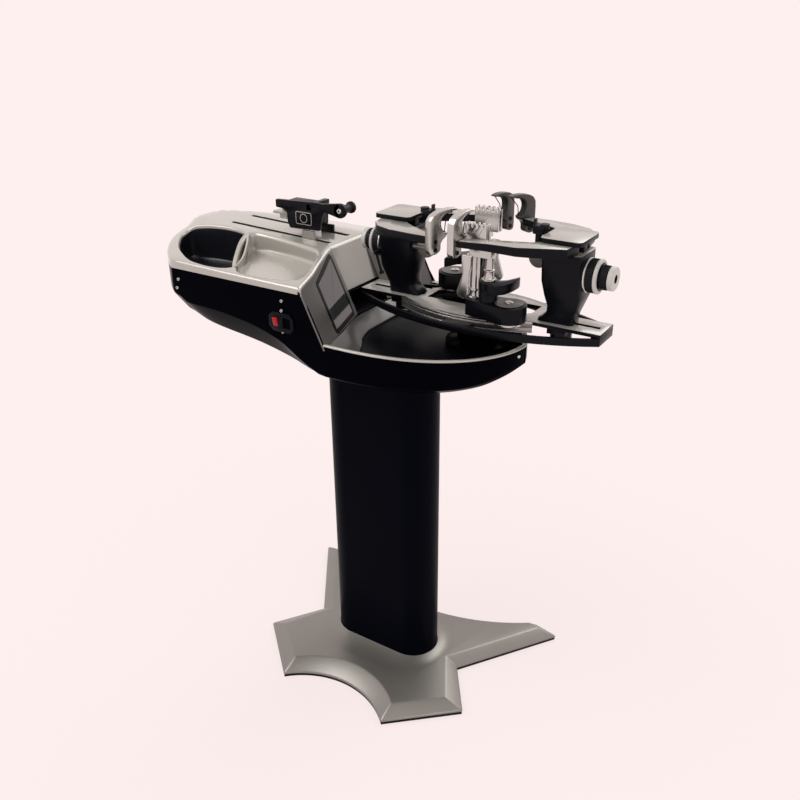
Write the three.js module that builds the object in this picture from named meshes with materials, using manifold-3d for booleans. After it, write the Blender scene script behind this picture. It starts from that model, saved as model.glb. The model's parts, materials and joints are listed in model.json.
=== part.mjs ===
// Racket stringing machine, in millimetres, +Z up.
// The origin is on the floor under the column. +X runs to the turntable, -Y to the operator's side.

import * as THREE from 'three';
import { mergeVertices } from 'three/addons/utils/BufferGeometryUtils.js';
import Module from 'manifold-3d';

const wasm = await Module();
wasm.setup();

// Clearances and cutting
const gap = 0.3;
const overrun = 8;
const far = 900;

// Driving dimensions: the stand
const base = {
  frontLegTip: 132, frontLegReach: 232, frontLegWidth: 265, frontLegCorner: 113,
  sideNotch: 191, sideNotchDepth: 5, rearLegTip: 340, rearLegReach: 211, rearLegInner: 284, rearLegEnd: 223,
  frontArch: 54, rearArch: 99, bevel: 42, sideBevel: 30, tipBevel: 26,
  plateHeight: 6, rimHeight: 12, shoulderHeight: 28, hubHeight: 33, hubMarginX: 26, hubMarginY: 34,
  plateInset: 6,
};
const column = { length: 252, width: 113, wall: 4, recess: 1.5, top: 812 };

// Driving dimensions: the housing
const housing = {
  left: 480, right: 335, near: 235, far: 177, wall: 4, seam: 935, depth: 163, crown: 33,
  cornerStart: 325, cornerEnd: 14, cornerBulge: 26, slopeTop: -8, slopeFoot: 33, rim: 849, tip: 50,
};
const ridge = { half: 53, frontTop: -80, topHeight: 963, frontFoot: -49, footHeight: 883 };
const slope = { footHeight: 842, thickness: 5, panelThickness: 3, panelInset: 0.5 };
const tray = { rimWidth: 9, rimThickness: 2.5, floor: 812, floorThickness: 3, rampThickness: 3, rampEnd: 99,
  end: 308, linkLength: 12 };
const recess = { depth: 90, half: 49, front: 50, step: 24, floor: 842, ceiling: 878, wall: 3 };
const slot = { offset: 31, width: 8, rearInset: 128, right: 98 };
const bin = { floor: 900, wall: 2.5, lip: 2 };
const dish = { floor: 938, wall: 3 };

// Driving dimensions: mains inlet
const inlet = {
  x: -57, height: 877, width: 56, tall: 36, chamfer: 9, plate: 3, bodyWidth: 46, bodyTall: 26,
  bodyDepth: 28,
  rockerOffset: 13, rockerWidth: 11, rockerTall: 18, rockerDepth: 8, rockerProud: 3.5,
  socketOffset: 12, socketWidth: 17, socketTall: 20, socketDepth: 20, tine: 2.4, tineLength: 14,
  tineRise: 4,
};

// Driving dimensions: string tensioner
const rails = { rodRadius: 7, rodOffset: 46, screwRadius: 6, height: 906, rearInset: 48, frontX: -94,
  bracket: 8 };
const bracketSize = { half: 62, top: 926 };
const carriage = {
  centre: -158, length: 88, half: 60, bottom: 888, top: 926, neckLength: 30, neckThickness: 6, neckShift: 8,
};
const motor = { radius: 24, length: 74, offset: 87, height: 896, shaftRadius: 5, gearRadius: 17,
  gearLength: 12 };
const head = {
  back: 229, front: 107, bottom: 984, tall: 57, farTall: 44, plate: 7, half: 32, arm: 73, armRise: 47.5,
  hub: 14, bridgeBack: 152, bridgeFront: 112, bridge: 6, tongueBack: 250, tongueHalf: 18, tongue: 14,
  tongueRise: 11,
  lipLength: 20, lip: 4, blockRise: 26,
};
const jaw = { back: 223, front: 168, thickness: 9, mouth: 6, rise: 46, slopeRise: 12 };
const roller = { flange: 11.5, waist: 8, near: -24, far: 9, rim: 5, axle: 4 };

// Driving dimensions: turntable
const turn = { x: 216, top: 889, plate: 6.7, halfLength: 243, endHalf: 31, midLength: 131, skew: 12,
  nearEdge: 66, farEdge: 80 };
const opening = { back: 105, front: 100, near: 10, far: 50, corner: 20 };
const towerSlot = { start: 118, end: 231, half: 4 };
const rail = { width: 7, height: 18, groove: 1.6, lip: 2.5 };
const frame = { peak: 98, wall: 6, endShare: 0.6, notch: 4, height: 14, crossHalf: 26, hubRadius: 46,
  hubHeight: 16, block: 18, shaft: 15 };
const bearing = { flange: 62, flangeHeight: 8, radius: 40, height: 32, collar: 30, collarHeight: 3 };

// Driving dimensions: towers, heights above the turntable plate
const tower = {
  top: 128, flare: 18, footIn: 120, footOut: 187, footHalf: 19, headIn: 128, headOut: 200, headHalf: 36,
  corner: 8,
  capIn: 127, capOut: 201, capHalf: 42, cap: 8, spineHalf: 7, bossRadius: 31, bossEnd: 201, bossStart: 188,
  knobHeight: 90, tongueIn: 144, tongueOut: 178, tongueHalf: 3.6, blockHalf: 24, blockHeight: 11,
  underKnob: 19, underKnobDepth: 14, shelfIn: 99, shelfHalf: 9, shelf: 12, shelfDrop: 6,
};
const arm = { thickness: 16.4, tipRise: 6, taper: 30, pivotX: 165, pivotY: 26, pin: 6, tipWidth: 106,
  root: 190 };
const hook = {
  back: 9, height: 173, outer: 23, inner: 15, width: 13, lip: 16, step: 6, stem: 24, bottom: 116, reach: 37,
  beakHeight: 13, beak: 5.5, mouthStart: 0.4, mouthEnd: 1.66,
};
const support = {
  x: 108, post: 6, neck: 8, pad: 9, padHeight: 11, padBottom: 151, discX: 118, disc: 8, discHeight: 3,
  lip: 3,
  lipHeight: 10,
};
const armKnob = { radius: 30, length: 19, ring: 29, ringLength: 5, rib: 1.2 };
const supportKnob = { radius: 20.5, length: 24, socket: 6, socketDepth: 6 };
const sideLever = { x: 112, y: 24, height: 98, barLength: 24, bar: 5, radius: 18, thickness: 6,
  flat: 0.14 };
const lockLever = {
  x: 196, y: 46, height: 80, length: 38, radius: 2.4, foot: 4.5, footHeight: 5, lean: 12, pin: 3.5,
  pinStart: 34.5,
};

// Driving dimensions: string clamps, seated on the turntable plate
const clamp = {
  x: 86, y: 58, flange: 26, flangeHeight: 5.5, axle: 14, armHeight: 29, armHalf: 31, tailHalf: 15,
  armLength: 77, turretX: 46, postX: 18, turret: 17, turretHeight: 18, postRadius: 7.5, frontPost: 6,
  postTop: 111,
  collar: 9.5, collarHeight: 3, collarAt: 88, base: 13, lower: 8.5, ringAt: 49, stay: 3.5, block: 12,
  headBack: -6, headFront: 42,
  jawThickness: 5.5, jawTop: 166, mouth: 5.4, toothDepth: 6, teeth: 5,
};
const paddle = {
  height: 17, hub: 18, reach: 50,
  outerShares: [[0, -0.35], [0.22, -0.52], [0.46, -0.5], [0.7, -0.22], [0.8, 0.16], [0.82, 0.66],
  [0.76, 0.9]],
  innerShares: [[0.66, 0.64], [0.52, 0.34], [0.3, 0.16], [0, 0.33]],
};
const spoon = { top: 108, drop: 66, half: 3.5, head: 18, neck: 13, bulb: 12, shift: 6, pin: 4 };

// Materials
const paint = (color, roughness, metalness) => new THREE.MeshStandardMaterial({ color, roughness,
  metalness });
const black = paint(0x15171c, 0.45, 0.2);
const pale = paint(0xcfc9bd, 0.4, 0);
const castGrey = paint(0xa7a49d, 0.5, 0.4);
const steel = paint(0xb4b4b2, 0.3, 0.9);
const aluminium = paint(0xc9c8c4, 0.35, 0.8);
const darkPlastic = paint(0x2a2c30, 0.5, 0);
const panelGlass = paint(0x5c5c5a, 0.12, 0.1);
const red = paint(0xd83a36, 0.4, 0);
const white = paint(0xe6e2d8, 0.4, 0);
const rubber = paint(0x22252b, 0.8, 0);

const machine = new THREE.Group();
const table = new THREE.Group();
table.position.set(turn.x, 0, turn.top);
machine.add(table);

// Solids from closed geometries

function toSolid(geometry) {
  const plain = geometry.index ? geometry.toNonIndexed() : geometry.clone();
  plain.deleteAttribute('normal');
  plain.deleteAttribute('uv');
  const merged = mergeVertices(plain, 1e-4);
  const triVerts = Uint32Array.from(merged.index.array);
  const vertProperties = Float32Array.from(merged.attributes.position.array);
  const solid = new wasm.Manifold(new wasm.Mesh({ numProp: 3, vertProperties, triVerts }));
  if (solid.volume() >= 0) return solid;
  const turned = triVerts.map((_, i) => triVerts[i - (i % 3) + 2 - (i % 3)]);
  return new wasm.Manifold(new wasm.Mesh({ numProp: 3, vertProperties, triVerts: turned }));
}

function toMesh(name, solid, material, parent) {
  const result = solid.getMesh();
  const geometry = new THREE.BufferGeometry();
  const count = result.vertProperties.length / result.numProp;
  const positions = new Float32Array(count * 3);
  for (let i = 0; i < count; i += 1) {
    for (let k = 0; k < 3; k += 1) positions[i * 3 + k] = result.vertProperties[i * result.numProp + k];
  }
  geometry.setAttribute('position', new THREE.BufferAttribute(positions, 3));
  geometry.setIndex(Array.from(result.triVerts));
  const mesh = new THREE.Mesh(geometry, material);
  mesh.name = name;
  parent.add(mesh);
  return mesh;
}

const join = (first, ...others) => others.reduce((sum, next) => sum.add(next), first);
const cut = (first, ...others) => others.reduce((sum, next) => sum.subtract(next), first);

function matrixSolid(geometry, matrix) {
  const moved = geometry.clone();
  moved.applyMatrix4(matrix);
  return toSolid(moved);
}

// A flat outline in X and Y, raised from one height to another
function slab(points, bottom, top) {
  const shape = new THREE.Shape(points.map(([x, y]) => new THREE.Vector2(x, y)));
  const geometry = new THREE.ExtrudeGeometry(shape, { depth: top - bottom, bevelEnabled: false });
  return matrixSolid(geometry, new THREE.Matrix4().makeTranslation(0, 0, bottom));
}

// A side outline in X and Z, run from one Y to another
function sidePlate(points, start, end) {
  const shape = new THREE.Shape(points.map(([x, z]) => new THREE.Vector2(x, z)));
  const geometry = new THREE.ExtrudeGeometry(shape, { depth: end - start, bevelEnabled: false });
  const axes = new THREE.Matrix4().makeBasis(
    new THREE.Vector3(1, 0, 0), new THREE.Vector3(0, 0, 1), new THREE.Vector3(0, -1, 0));
  axes.setPosition(0, end, 0);
  return matrixSolid(geometry, axes);
}

// An end outline in Y and Z, run from one X to another
function endPlate(points, start, end) {
  const shape = new THREE.Shape(points.map(([y, z]) => new THREE.Vector2(y, z)));
  const geometry = new THREE.ExtrudeGeometry(shape, { depth: end - start, bevelEnabled: false });
  const axes = new THREE.Matrix4().makeBasis(
    new THREE.Vector3(0, 1, 0), new THREE.Vector3(0, 0, 1), new THREE.Vector3(1, 0, 0));
  axes.setPosition(start, 0, 0);
  return matrixSolid(geometry, axes);
}

function block(x0, x1, y0, y1, z0, z1) {
  return slab([[x0, y0], [x1, y0], [x1, y1], [x0, y1]], z0, z1);
}

// A profile of radius and height pairs, turned about an axis that starts at a point
function turned(profile, origin, axis, steps = 28) {
  const points = profile.map(([r, h]) => new THREE.Vector2(r, h));
  const geometry = new THREE.LatheGeometry(points, steps);
  const rotation = new THREE.Quaternion().setFromUnitVectors(new THREE.Vector3(0, 1, 0), axis);
  const matrix = new THREE.Matrix4().compose(origin, rotation, new THREE.Vector3(1, 1, 1));
  return matrixSolid(geometry, matrix);
}

const upward = new THREE.Vector3(0, 0, 1);
const outward = new THREE.Vector3(1, 0, 0);
const across = new THREE.Vector3(0, 1, 0);

function drum(radius, start, end, origin, axis, steps) {
  return turned([[0, start], [radius, start], [radius, end], [0, end]], origin, axis, steps);
}

// Rings of equal point counts joined in order, with both ends closed
function loft(rings) {
  const count = rings[0].length;
  const positions = rings.flat(2);
  const index = [];
  for (let r = 0; r + 1 < rings.length; r += 1) {
    for (let i = 0; i < count; i += 1) {
      const a = r * count + i;
      const b = r * count + ((i + 1) % count);
      index.push(a, b, b + count, a, b + count, a + count);
    }
  }
  closeRing(rings[0], 0, true, index);
  closeRing(rings[rings.length - 1], count * (rings.length - 1), false, index);
  const geometry = new THREE.BufferGeometry();
  geometry.setAttribute('position', new THREE.Float32BufferAttribute(positions, 3));
  geometry.setIndex(index);
  return toSolid(geometry);
}

function closeRing(ring, offset, reverse, index) {
  const points = ring.map(([x, y, z]) => new THREE.Vector3(x, y, z));
  const normal = new THREE.Vector3();
  points.forEach((p, i) => normal.add(p.clone().cross(points[(i + 1) % points.length])));
  normal.normalize();
  const side = Math.abs(normal.z) < Math.abs(normal.x) ? upward : outward;
  const first = side.clone().cross(normal).normalize();
  const second = normal.clone().cross(first);
  const flat = points.map((p) => new THREE.Vector2(p.dot(first), p.dot(second)));
  THREE.ShapeUtils.triangulateShape(flat, []).forEach(([a, b, c]) => {
    if (reverse) index.push(offset + a, offset + c, offset + b);
    else index.push(offset + a, offset + b, offset + c);
  });
}

// Outlines

function stadium(length, width, steps = 14) {
  const radius = width / 2;
  const reach = length / 2 - radius;
  const points = [];
  for (let i = 0; i <= steps; i += 1) {
    const angle = Math.PI * (i / steps - 1 / 2);
    points.push([reach + radius * Math.cos(angle), radius * Math.sin(angle)]);
  }
  return points.concat(points.map(([x, y]) => [-x, -y]));
}

function roundedBox(x0, x1, y0, y1, radius, steps = 2) {
  const corners = [[x1, y1, 0], [x0, y1, 1], [x0, y0, 2], [x1, y0, 3]];
  const points = [];
  corners.forEach(([x, y, quarter]) => {
    const cx = x - radius * Math.sign(x - (x0 + x1) / 2);
    const cy = y - radius * Math.sign(y - (y0 + y1) / 2);
    for (let i = 0; i <= steps; i += 1) {
      const angle = (Math.PI / 2) * (quarter + i / steps);
      points.push([cx + radius * Math.cos(angle), cy + radius * Math.sin(angle)]);
    }
  });
  return points;
}

function circle(cx, cy, radius, start, end, steps) {
  const points = [];
  for (let i = 0; i <= steps; i += 1) {
    const angle = start + ((end - start) * i) / steps;
    points.push([cx + radius * Math.cos(angle), cy + radius * Math.sin(angle)]);
  }
  return points;
}

// A round arch from one point to another, bulging to the left of the way it goes
function arch(from, to, rise, steps) {
  const [dx, dy] = [to[0] - from[0], to[1] - from[1]];
  const chord = Math.hypot(dx, dy);
  const radius = (chord * chord) / (8 * Math.abs(rise)) + Math.abs(rise) / 2;
  const half = Math.asin(chord / (2 * radius));
  const points = [];
  for (let i = 0; i <= steps; i += 1) {
    const angle = half * ((2 * i) / steps - 1);
    const along = radius * Math.sin(angle) + chord / 2;
    const lift = Math.sign(rise) * (radius * Math.cos(angle) - radius * Math.cos(half));
    points.push([from[0] + (dx * along - dy * lift) / chord, from[1] + (dy * along + dx * lift) / chord]);
  }
  return points;
}

const mirrorX = (points) => points.map(([x, y]) => [-x, y]).reverse();
const atShares = (shares, sizeX, sizeY) => shares.map(([x, y]) => [x * sizeX, y * sizeY]);
const atHeight = (points, z) => points.map(([x, y]) => [x, y, z]);

function atTable(rows, x) {
  if (x <= rows[0][0]) return rows[0][1];
  for (let i = 1; i < rows.length; i += 1) {
    const [x0, y0] = rows[i - 1];
    const [x1, y1] = rows[i];
    if (x <= x1) return y0 + ((y1 - y0) * (x - x0)) / (x1 - x0);
  }
  return rows[rows.length - 1][1];
}

// The stand

function baseOutline(inset, sideInset, tipInset) {
  const b = base;
  const front = [b.frontLegTip, -b.frontLegReach];
  const rear = [b.rearLegInner - tipInset / 2, b.rearLegEnd - inset / 2];
  const frontInner = [front[0], front[1] + inset];
  const arc = arch([-frontInner[0], frontInner[1]], frontInner, b.frontArch, 10);
  const right = [
    [b.frontLegWidth - inset, -b.frontLegCorner],
    [b.sideNotch - sideInset, -b.sideNotchDepth],
    [b.rearLegTip - tipInset - sideInset / 2, b.rearLegReach - tipInset / 2],
  ];
  const back = arch(rear, [-rear[0], rear[1]], b.rearArch - tipInset / 2, 12);
  return [...arc, ...right, ...back, ...mirrorX(right)];
}

function makeBase() {
  const b = base;
  const foot = baseOutline(b.plateInset, b.plateInset, b.plateInset);
  const bore = slab(stadium(column.length + 2 * column.recess, column.width + 2 * column.recess),
    b.plateHeight, b.hubHeight + overrun);
  toMesh('base_plate', slab(foot, 0, b.plateHeight), black, machine);
  const low = baseOutline(0, 0, 0);
  const high = baseOutline(b.bevel, b.sideBevel, b.tipBevel);
  const cover = loft([atHeight(low, b.plateHeight + gap), atHeight(low, b.rimHeight),
      atHeight(high, b.shoulderHeight)]);
  const hubLow = stadium(column.length + 2 * b.hubMarginX, column.width + 2 * b.hubMarginY);
  const hubHigh = stadium(column.length + b.hubMarginX / 2, column.width + b.hubMarginY / 2);
  const hub = loft([atHeight(hubLow, b.rimHeight), atHeight(hubLow, b.shoulderHeight),
      atHeight(hubHigh, b.hubHeight)]);
  toMesh('base_cover', cut(join(cover, hub), bore), castGrey, machine);
}

function makeColumn(shellOuter) {
  const outer = slab(stadium(column.length, column.width), base.plateHeight + gap, column.top);
  const inner = slab(stadium(column.length - 2 * column.wall, column.width - 2 * column.wall),
    base.plateHeight + gap + column.wall, column.top + overrun);
  toMesh('column', cut(outer, inner, shellOuter.translate([0, 0, -gap])), black, machine);
}

// The housing: its plan is the same for the shell, the cover and the tray

function planeNormal(a, b, c) {
  return b.clone().sub(a).cross(c.clone().sub(a)).normalize();
}

function slopePlanes() {
  const h = housing;
  const top = new THREE.Vector3(h.slopeTop, -h.near, h.seam);
  const foot = new THREE.Vector3(h.slopeFoot, -h.near, h.rim);
  const corner = new THREE.Vector3(ridge.frontTop, -ridge.half, ridge.topHeight);
  const near = planeNormal(top, corner, foot);
  if (near.x < 0) near.negate();
  const back = new THREE.Vector3(near.x, -near.y, near.z);
  const front = new THREE.Vector3(ridge.topHeight - ridge.footHeight, 0,
      ridge.frontFoot - ridge.frontTop).normalize();
  return [
    { point: top, normal: near, from: -far, to: -ridge.half },
    { point: corner, normal: front, from: -ridge.half, to: ridge.half },
    { point: new THREE.Vector3(top.x, -top.y, top.z), normal: back, from: ridge.half, to: far },
  ];
}

// The far wall is nearer the middle, so its slope starts this much farther to the left
const slopeNormal = slopePlanes()[0].normal;
const slopeShift = ((housing.near - housing.far) * slopeNormal.y) / slopeNormal.x;

const cornerShares = [0, 0.06, 0.16, 0.32, 0.52, 0.76, 1];
const middleShares = [0.34, 0.565, 0.8];
const trayShares = [0, 0.24, 0.5, 0.7, 0.82, 0.9, 0.955, 0.985, 0.998];
const trayNear = { power: 2.5, root: 1.9 };
const trayFar = { power: 2.2, root: 1.25 };
const farShare = housing.far / housing.near;

function traySide(share, wide, curve) {
  return (1 - share ** curve.power) ** (1 / curve.root) * wide;
}

// Places along the plan, each with its reach to the near side and to the far side
function planPoints() {
  const h = housing;
  const curve = arch([-h.left, h.cornerEnd], [-h.cornerStart, h.near], h.cornerBulge, 24);
  const span = h.left - h.cornerStart;
  const corner = cornerShares.map((share) => [share * span - h.left,
      atTable(curve, share * span - h.left)]);
  const middle = middleShares.map((share) => [share * (h.slopeTop + h.cornerStart) - h.cornerStart,
      h.near]);
  const slopes = [h.slopeTop - slopeShift, h.slopeTop, h.slopeFoot - slopeShift].map((x) => [x, h.near]);
  const straight = [...corner, ...middle, ...slopes].map(([x, y]) => [x, y, y * farShare]);
  const front = trayShares.map((share) => {
    const near = h.tip + traySide(share, h.near - h.tip, trayNear);
    const back = traySide(share, h.far + h.tip, trayFar) - h.tip;
    return [h.slopeFoot + share * (h.right - h.slopeFoot), near, back];
  });
  return [...straight, ...front, [h.right, h.tip, -h.tip]];
}

function insetSide(points, inset) {
  const last = points.length - 1;
  return points.map(([x, y], i) => {
    const before = points[Math.max(i - 1, 0)];
    const after = points[Math.min(i + 1, last)];
    let [dx, dy] = [after[0] - before[0], after[1] - before[1]];
    if (i === 0) [dx, dy] = [0, 1];
    if (i === last) [dx, dy] = [0, -1];
    const scale = inset / Math.hypot(dx, dy);
    return [x + dy * scale, y - dx * scale];
  });
}

// The plan, moved inwards by a wall's thickness
function planCurve(inset) {
  const points = planPoints();
  const near = insetSide(points.map(([x, y]) => [x, y]), inset);
  const back = insetSide(points.map(([x, , y]) => [x, y]), inset);
  return near.map(([x, y]) => {
    const reach = atTable(back, x);
    return [x, Math.max(y, gap - reach), reach];
  });
}

const nearAt = (x, inset) => atTable(planCurve(inset), x);

// Heights of the shell's lower edge and of its underside, as shares of the housing's depth below the seam
const edgeShares = [
  [-1, 0.3], [-0.66, 0.3], [-0.625, 0.385], [-0.45, 0.405], [-0.3, 0.455], [-0.15, 0.57], [-0.02, 0.79],
  [0.06, 0.88], [0.4, 0.86], [0.55, 0.83], [0.62, 0.79], [0.67, 0.72], [0.7, 0.67],
];
const undersideShares = [
  [-1, 0.36], [-0.66, 0.58], [-0.56, 0.68], [-0.3, 0.78], [-0.15, 0.87], [-0.02, 0.98], [0.04, 1],
      [0.25, 0.98],
  [0.45, 0.94], [0.6, 0.86], [0.67, 0.77], [0.7, 0.71],
];
const chamferShare = 0.085;

function shellRing([x, near, back], inset, topLift) {
  const h = housing;
  const at = (rows) => h.seam - housing.depth * atTable(rows.map(([s, d]) => [s * h.left, d]), x) + inset;
  const topAt = (shift) => atTable([[h.slopeTop - shift, h.seam], [h.slopeFoot - shift, h.rim]],
      x) + topLift;
  const low = at(undersideShares);
  const edge = at(edgeShares);
  const nearTurn = near - (near + back) * chamferShare;
  const farTurn = back - (near + back) * chamferShare;
  return [
    [x, -near, topAt(0)], [x, -near, edge], [x, -nearTurn, low], [x, farTurn, low], [x, back, edge],
    [x, back, topAt(slopeShift)],
  ];
}

function makeShell() {
  const h = housing;
  const outer = loft(planCurve(0).map((place) => shellRing(place, 0, 0)));
  const inner = loft(planCurve(h.wall).map((place) => shellRing(place, h.wall, overrun)));
  const pocket = block(inlet.x - inlet.bodyWidth / 2 - gap, inlet.x + inlet.bodyWidth / 2 + gap,
    -h.near - overrun, -h.near + h.wall + overrun,
    inlet.height - inlet.bodyTall / 2 - gap, inlet.height + inlet.bodyTall / 2 + gap);
  toMesh('lower_shell', cut(outer, inner, pocket), black, machine);
  return outer;
}

// The cover's sections, as shares of the near width or far width, and of the crown height
const nearShares = [[1, 0], [0.985, 0.27], [0.93, 0.47], [0.72, 0.56], [0.45, 0.88], [0.26, 1]];
const backShares = [[0.34, 1], [0.62, 0.74], [0.93, 0.3], [0.985, 0.16], [1, 0]];
const crownShares = [[-1, 0.5], [-0.985, 0.82], [-0.955, 1.02], [-0.9, 1.14], [-0.74, 1.16], [-0.39, 1.03],
  [-0.16, 0.97]];
const coverEnd = 60;

function coverRing(x, near, inset, drop) {
  const h = housing;
  const crown = h.crown * atTable(crownShares.map(([s, d]) => [s * h.left, d]), x) - inset;
  const side = nearShares.map(([y, z]) => [x, -near * y, h.seam + crown * z]);
  const back = backShares.map(([y, z]) => [x, near * farShare * y, h.seam + crown * z]);
  const foot = h.seam + gap - drop;
  side[0][2] = foot;
  back[back.length - 1][2] = foot;
  return [...side, ...back];
}

function coverRings(inset, drop) {
  const curve = planCurve(inset).filter(([x]) => x < housing.slopeTop - gap);
  const full = housing.near - inset;
  const ends = [housing.slopeTop, coverEnd].map((x) => [x, full]);
  return loft([...curve, ...ends].map(([x, near]) => coverRing(x, near, inset, drop)));
}

// A large block whose face lies on a plane, on the side that the normal points to
function beyond(point, normal) {
  const geometry = new THREE.BoxGeometry(far, far, far);
  const rotation = new THREE.Quaternion().setFromUnitVectors(outward, normal);
  const centre = point.clone().addScaledVector(normal, far / 2);
  return matrixSolid(geometry, new THREE.Matrix4().compose(centre, rotation, new THREE.Vector3(1, 1, 1)));
}

function frontCut(shift) {
  return slopePlanes().map(({ point, normal, from, to }) => {
    const moved = point.clone().addScaledVector(normal, shift);
    return beyond(moved, normal).intersect(block(-far, far, from, to, 0, 2 * far));
  });
}

const pocketShares = [[-0.875, -0.44], [-0.845, -0.29], [-0.575, -0.29], [-0.4, -0.885], [-0.585, -0.945],
  [-0.735, -0.75]];
const dishShares = [[-0.55, -0.3], [-0.235, -0.36], [-0.14, -0.64], [-0.115, -0.86], [-0.16, -0.92],
  [-0.365, -0.905]];

const tension = 0.32;

function smooth(points, steps) {
  const places = points.map(([x, y]) => new THREE.Vector3(x, y, 0));
  const curve = new THREE.CatmullRomCurve3(places, true, 'catmullrom', tension);
  return curve.getPoints(steps).slice(0, -1).map((p) => [p.x, p.y]);
}

function insetOutline(points, distance) {
  const area = THREE.ShapeUtils.area(points.map(([x, y]) => new THREE.Vector2(x, y)));
  return points.map(([x, y], i) => {
    const before = points[(i + points.length - 1) % points.length];
    const after = points[(i + 1) % points.length];
    const dx = after[0] - before[0];
    const dy = after[1] - before[1];
    const scale = (distance * Math.sign(area)) / Math.hypot(dx, dy);
    return [x - dy * scale, y + dx * scale];
  });
}

function trayOutline(inset, start = housing.slopeFoot, farStart = housing.slopeFoot - slopeShift) {
  const curve = planCurve(inset);
  const backCurve = curve.map(([x, , y]) => [x, y]);
  const after = (rows, x0) => [[x0, atTable(rows, x0)], ...rows.filter(([x]) => x > x0 + gap)];
  const near = after(curve, start).map(([x, y]) => [x, -y]);
  const back = after(backCurve, farStart).map(([x, y]) => [x, y]).reverse();
  return [...near, ...back.slice(1)];
}

function rampSolid() {
  const h = housing;
  const t = tray;
  const high = slope.footHeight;
  const low = t.floor + t.floorThickness + gap;
  const inside = nearAt(t.rampEnd, h.wall + gap);
  const rows = rampShares.map(([y, outer, inner]) => {
    const width = y < 0 ? inside : h.far - h.wall - 2 * t.rampThickness;
    return [y * width, outer * h.slopeFoot, inner * h.slopeFoot];
  });
  return loft(rows.map(([y, outer, inner]) => [
    [outer, y, high], [inner, y, low + t.rampThickness], [inner, y, low],
        [outer, y, high - t.rampThickness],
  ]));
}

const rampShares = [
  [-1, 0.95, 2.3], [-0.64, 0.3, 1.5], [-0.4, -0.25, 0.55], [-0.22, -0.5, 0.25], [0.22, -0.5, 0.25],
  [0.55, -0.25, 0.55], [1, 0.3, 1.3],
];

function makeCover() {
  const h = housing;
  const outer = coverRings(0, 0);
  const cavity = coverRings(h.wall, overrun);
  const dishOuter = smooth(atShares(dishShares, h.left, h.near), 32);
  const dishWall = slab(insetOutline(dishOuter, -dish.wall), dish.floor - dish.wall, h.seam + 2 * h.crown);
  const hollow = cut(cavity, dishWall, ...frontCut(-slope.thickness));
  const binHole = slab(smooth(atShares(pocketShares, h.left, h.near), 32), h.seam - h.crown,
      h.seam + 2 * h.crown);
  const dishHole = slab(dishOuter, dish.floor, h.seam + 2 * h.crown);
  const slots = [-1, 1].map((side) => block(slot.rearInset - h.left, -slot.right,
      side * slot.offset - slot.width / 2,
    side * slot.offset + slot.width / 2, h.seam - overrun, h.seam + 2 * h.crown));
  const hood = cut(outer, hollow, binHole, dishHole, ...slots, ...frontCut(0));
  const inside = [-h.near + h.wall + gap, h.far - h.wall - gap];
  const wallZone = block(-far, far, inside[0], inside[1], slope.footHeight - tray.rampThickness / 2,
      h.seam + h.wall);
  const ridgeGap = block(-far, far, -ridge.half, ridge.half, 0, ridge.footHeight);
  const walls = slopePlanes().map(({ point, normal, from, to }) => {
    const zone = block(-far, far, from, to, 0, 2 * far).intersect(wallZone);
    const back = beyond(point.clone().addScaledVector(normal, -slope.thickness), normal);
    return cut(back.intersect(zone), beyond(point, normal));
  });
  const front = cut(join(walls[0], walls[1], walls[2]), ridgeGap);
  const rimInside = trayOutline(tray.rimWidth, h.slopeFoot - overrun, h.slopeFoot - slopeShift - overrun);
  const rim = cut(slab(trayOutline(0), h.rim + gap, h.rim + gap + tray.rimThickness),
    slab(rimInside, h.rim, h.rim + overrun));
  const panelSeat = panelSolid(gap);
  const body = cut(join(hood, front, ...rimLinks(), rampSolid()), panelSeat);
  toMesh('top_cover', join(body, rim), pale, machine);
  return outer;
}

// Short webs carry the rim strip and the ramp on the sloped front
function rimLinks() {
  const h = housing;
  const t = tray;
  const near = -h.near + h.wall + 2 * gap;
  const back = h.far - h.wall - 2 * gap;
  const low = slope.footHeight - t.rampThickness;
  const high = h.rim + gap + t.rimThickness;
  const farFoot = h.slopeFoot - slopeShift;
  const nearLink = block(h.slopeFoot - t.linkLength, h.slopeFoot + t.rimWidth, near, near + t.rimWidth, low,
      high);
  return [nearLink, block(farFoot - t.linkLength, farFoot + t.rimWidth, back - t.rimWidth, back, low,
      high)];
}

// The panel's corners on the near slope: shares of the near depth in Y and of the slope's height in Z
const panelShares = [[-0.712, 0.76], [-0.712, 0.03], [-0.283, 0.04], [-0.283, 0.97]];

function panelSolid(clearance) {
  const [near] = slopePlanes();
  const h = housing;
  const tall = ridge.topHeight - slope.footHeight;
  const corners = panelShares.map(([y, z]) => {
    const p = new THREE.Vector3(0, y * h.near, slope.footHeight + z * tall);
    p.x = near.point.x - ((p.y - near.point.y) * near.normal.y + (p.z - near.point.z) * near.normal.z)
        / near.normal.x;
    return p;
  });
  const middle = corners.reduce((sum, p) => sum.add(p), new THREE.Vector3()).divideScalar(corners.length);
  const ring = (distance) => corners.map((p) => {
    const grown = p.clone().addScaledVector(p.clone().sub(middle).normalize(), clearance * 2);
    return grown.addScaledVector(near.normal, distance).toArray();
  });
  return loft([ring(-slope.panelThickness - clearance),
      ring(slope.panelInset + (clearance ? overrun : 0))]);
}

function makePanel() {
  toMesh('control_panel', panelSolid(0), panelGlass, machine);
}

function makeBin(coverOuter) {
  const h = housing;
  const outline = smooth(atShares(pocketShares, h.left, h.near), 32);
  const top = h.seam + 2 * h.crown;
  const body = slab(insetOutline(outline, gap), bin.floor, top);
  const inside = slab(insetOutline(outline, gap + bin.wall), bin.floor + bin.wall, top);
  const under = coverOuter.translate([0, 0, -bin.lip]).add(block(-h.left, h.right, -h.near, h.far, 0,
      h.seam));
  toMesh('tool_bin', cut(body, inside).intersect(under), darkPlastic, machine);
}

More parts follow.
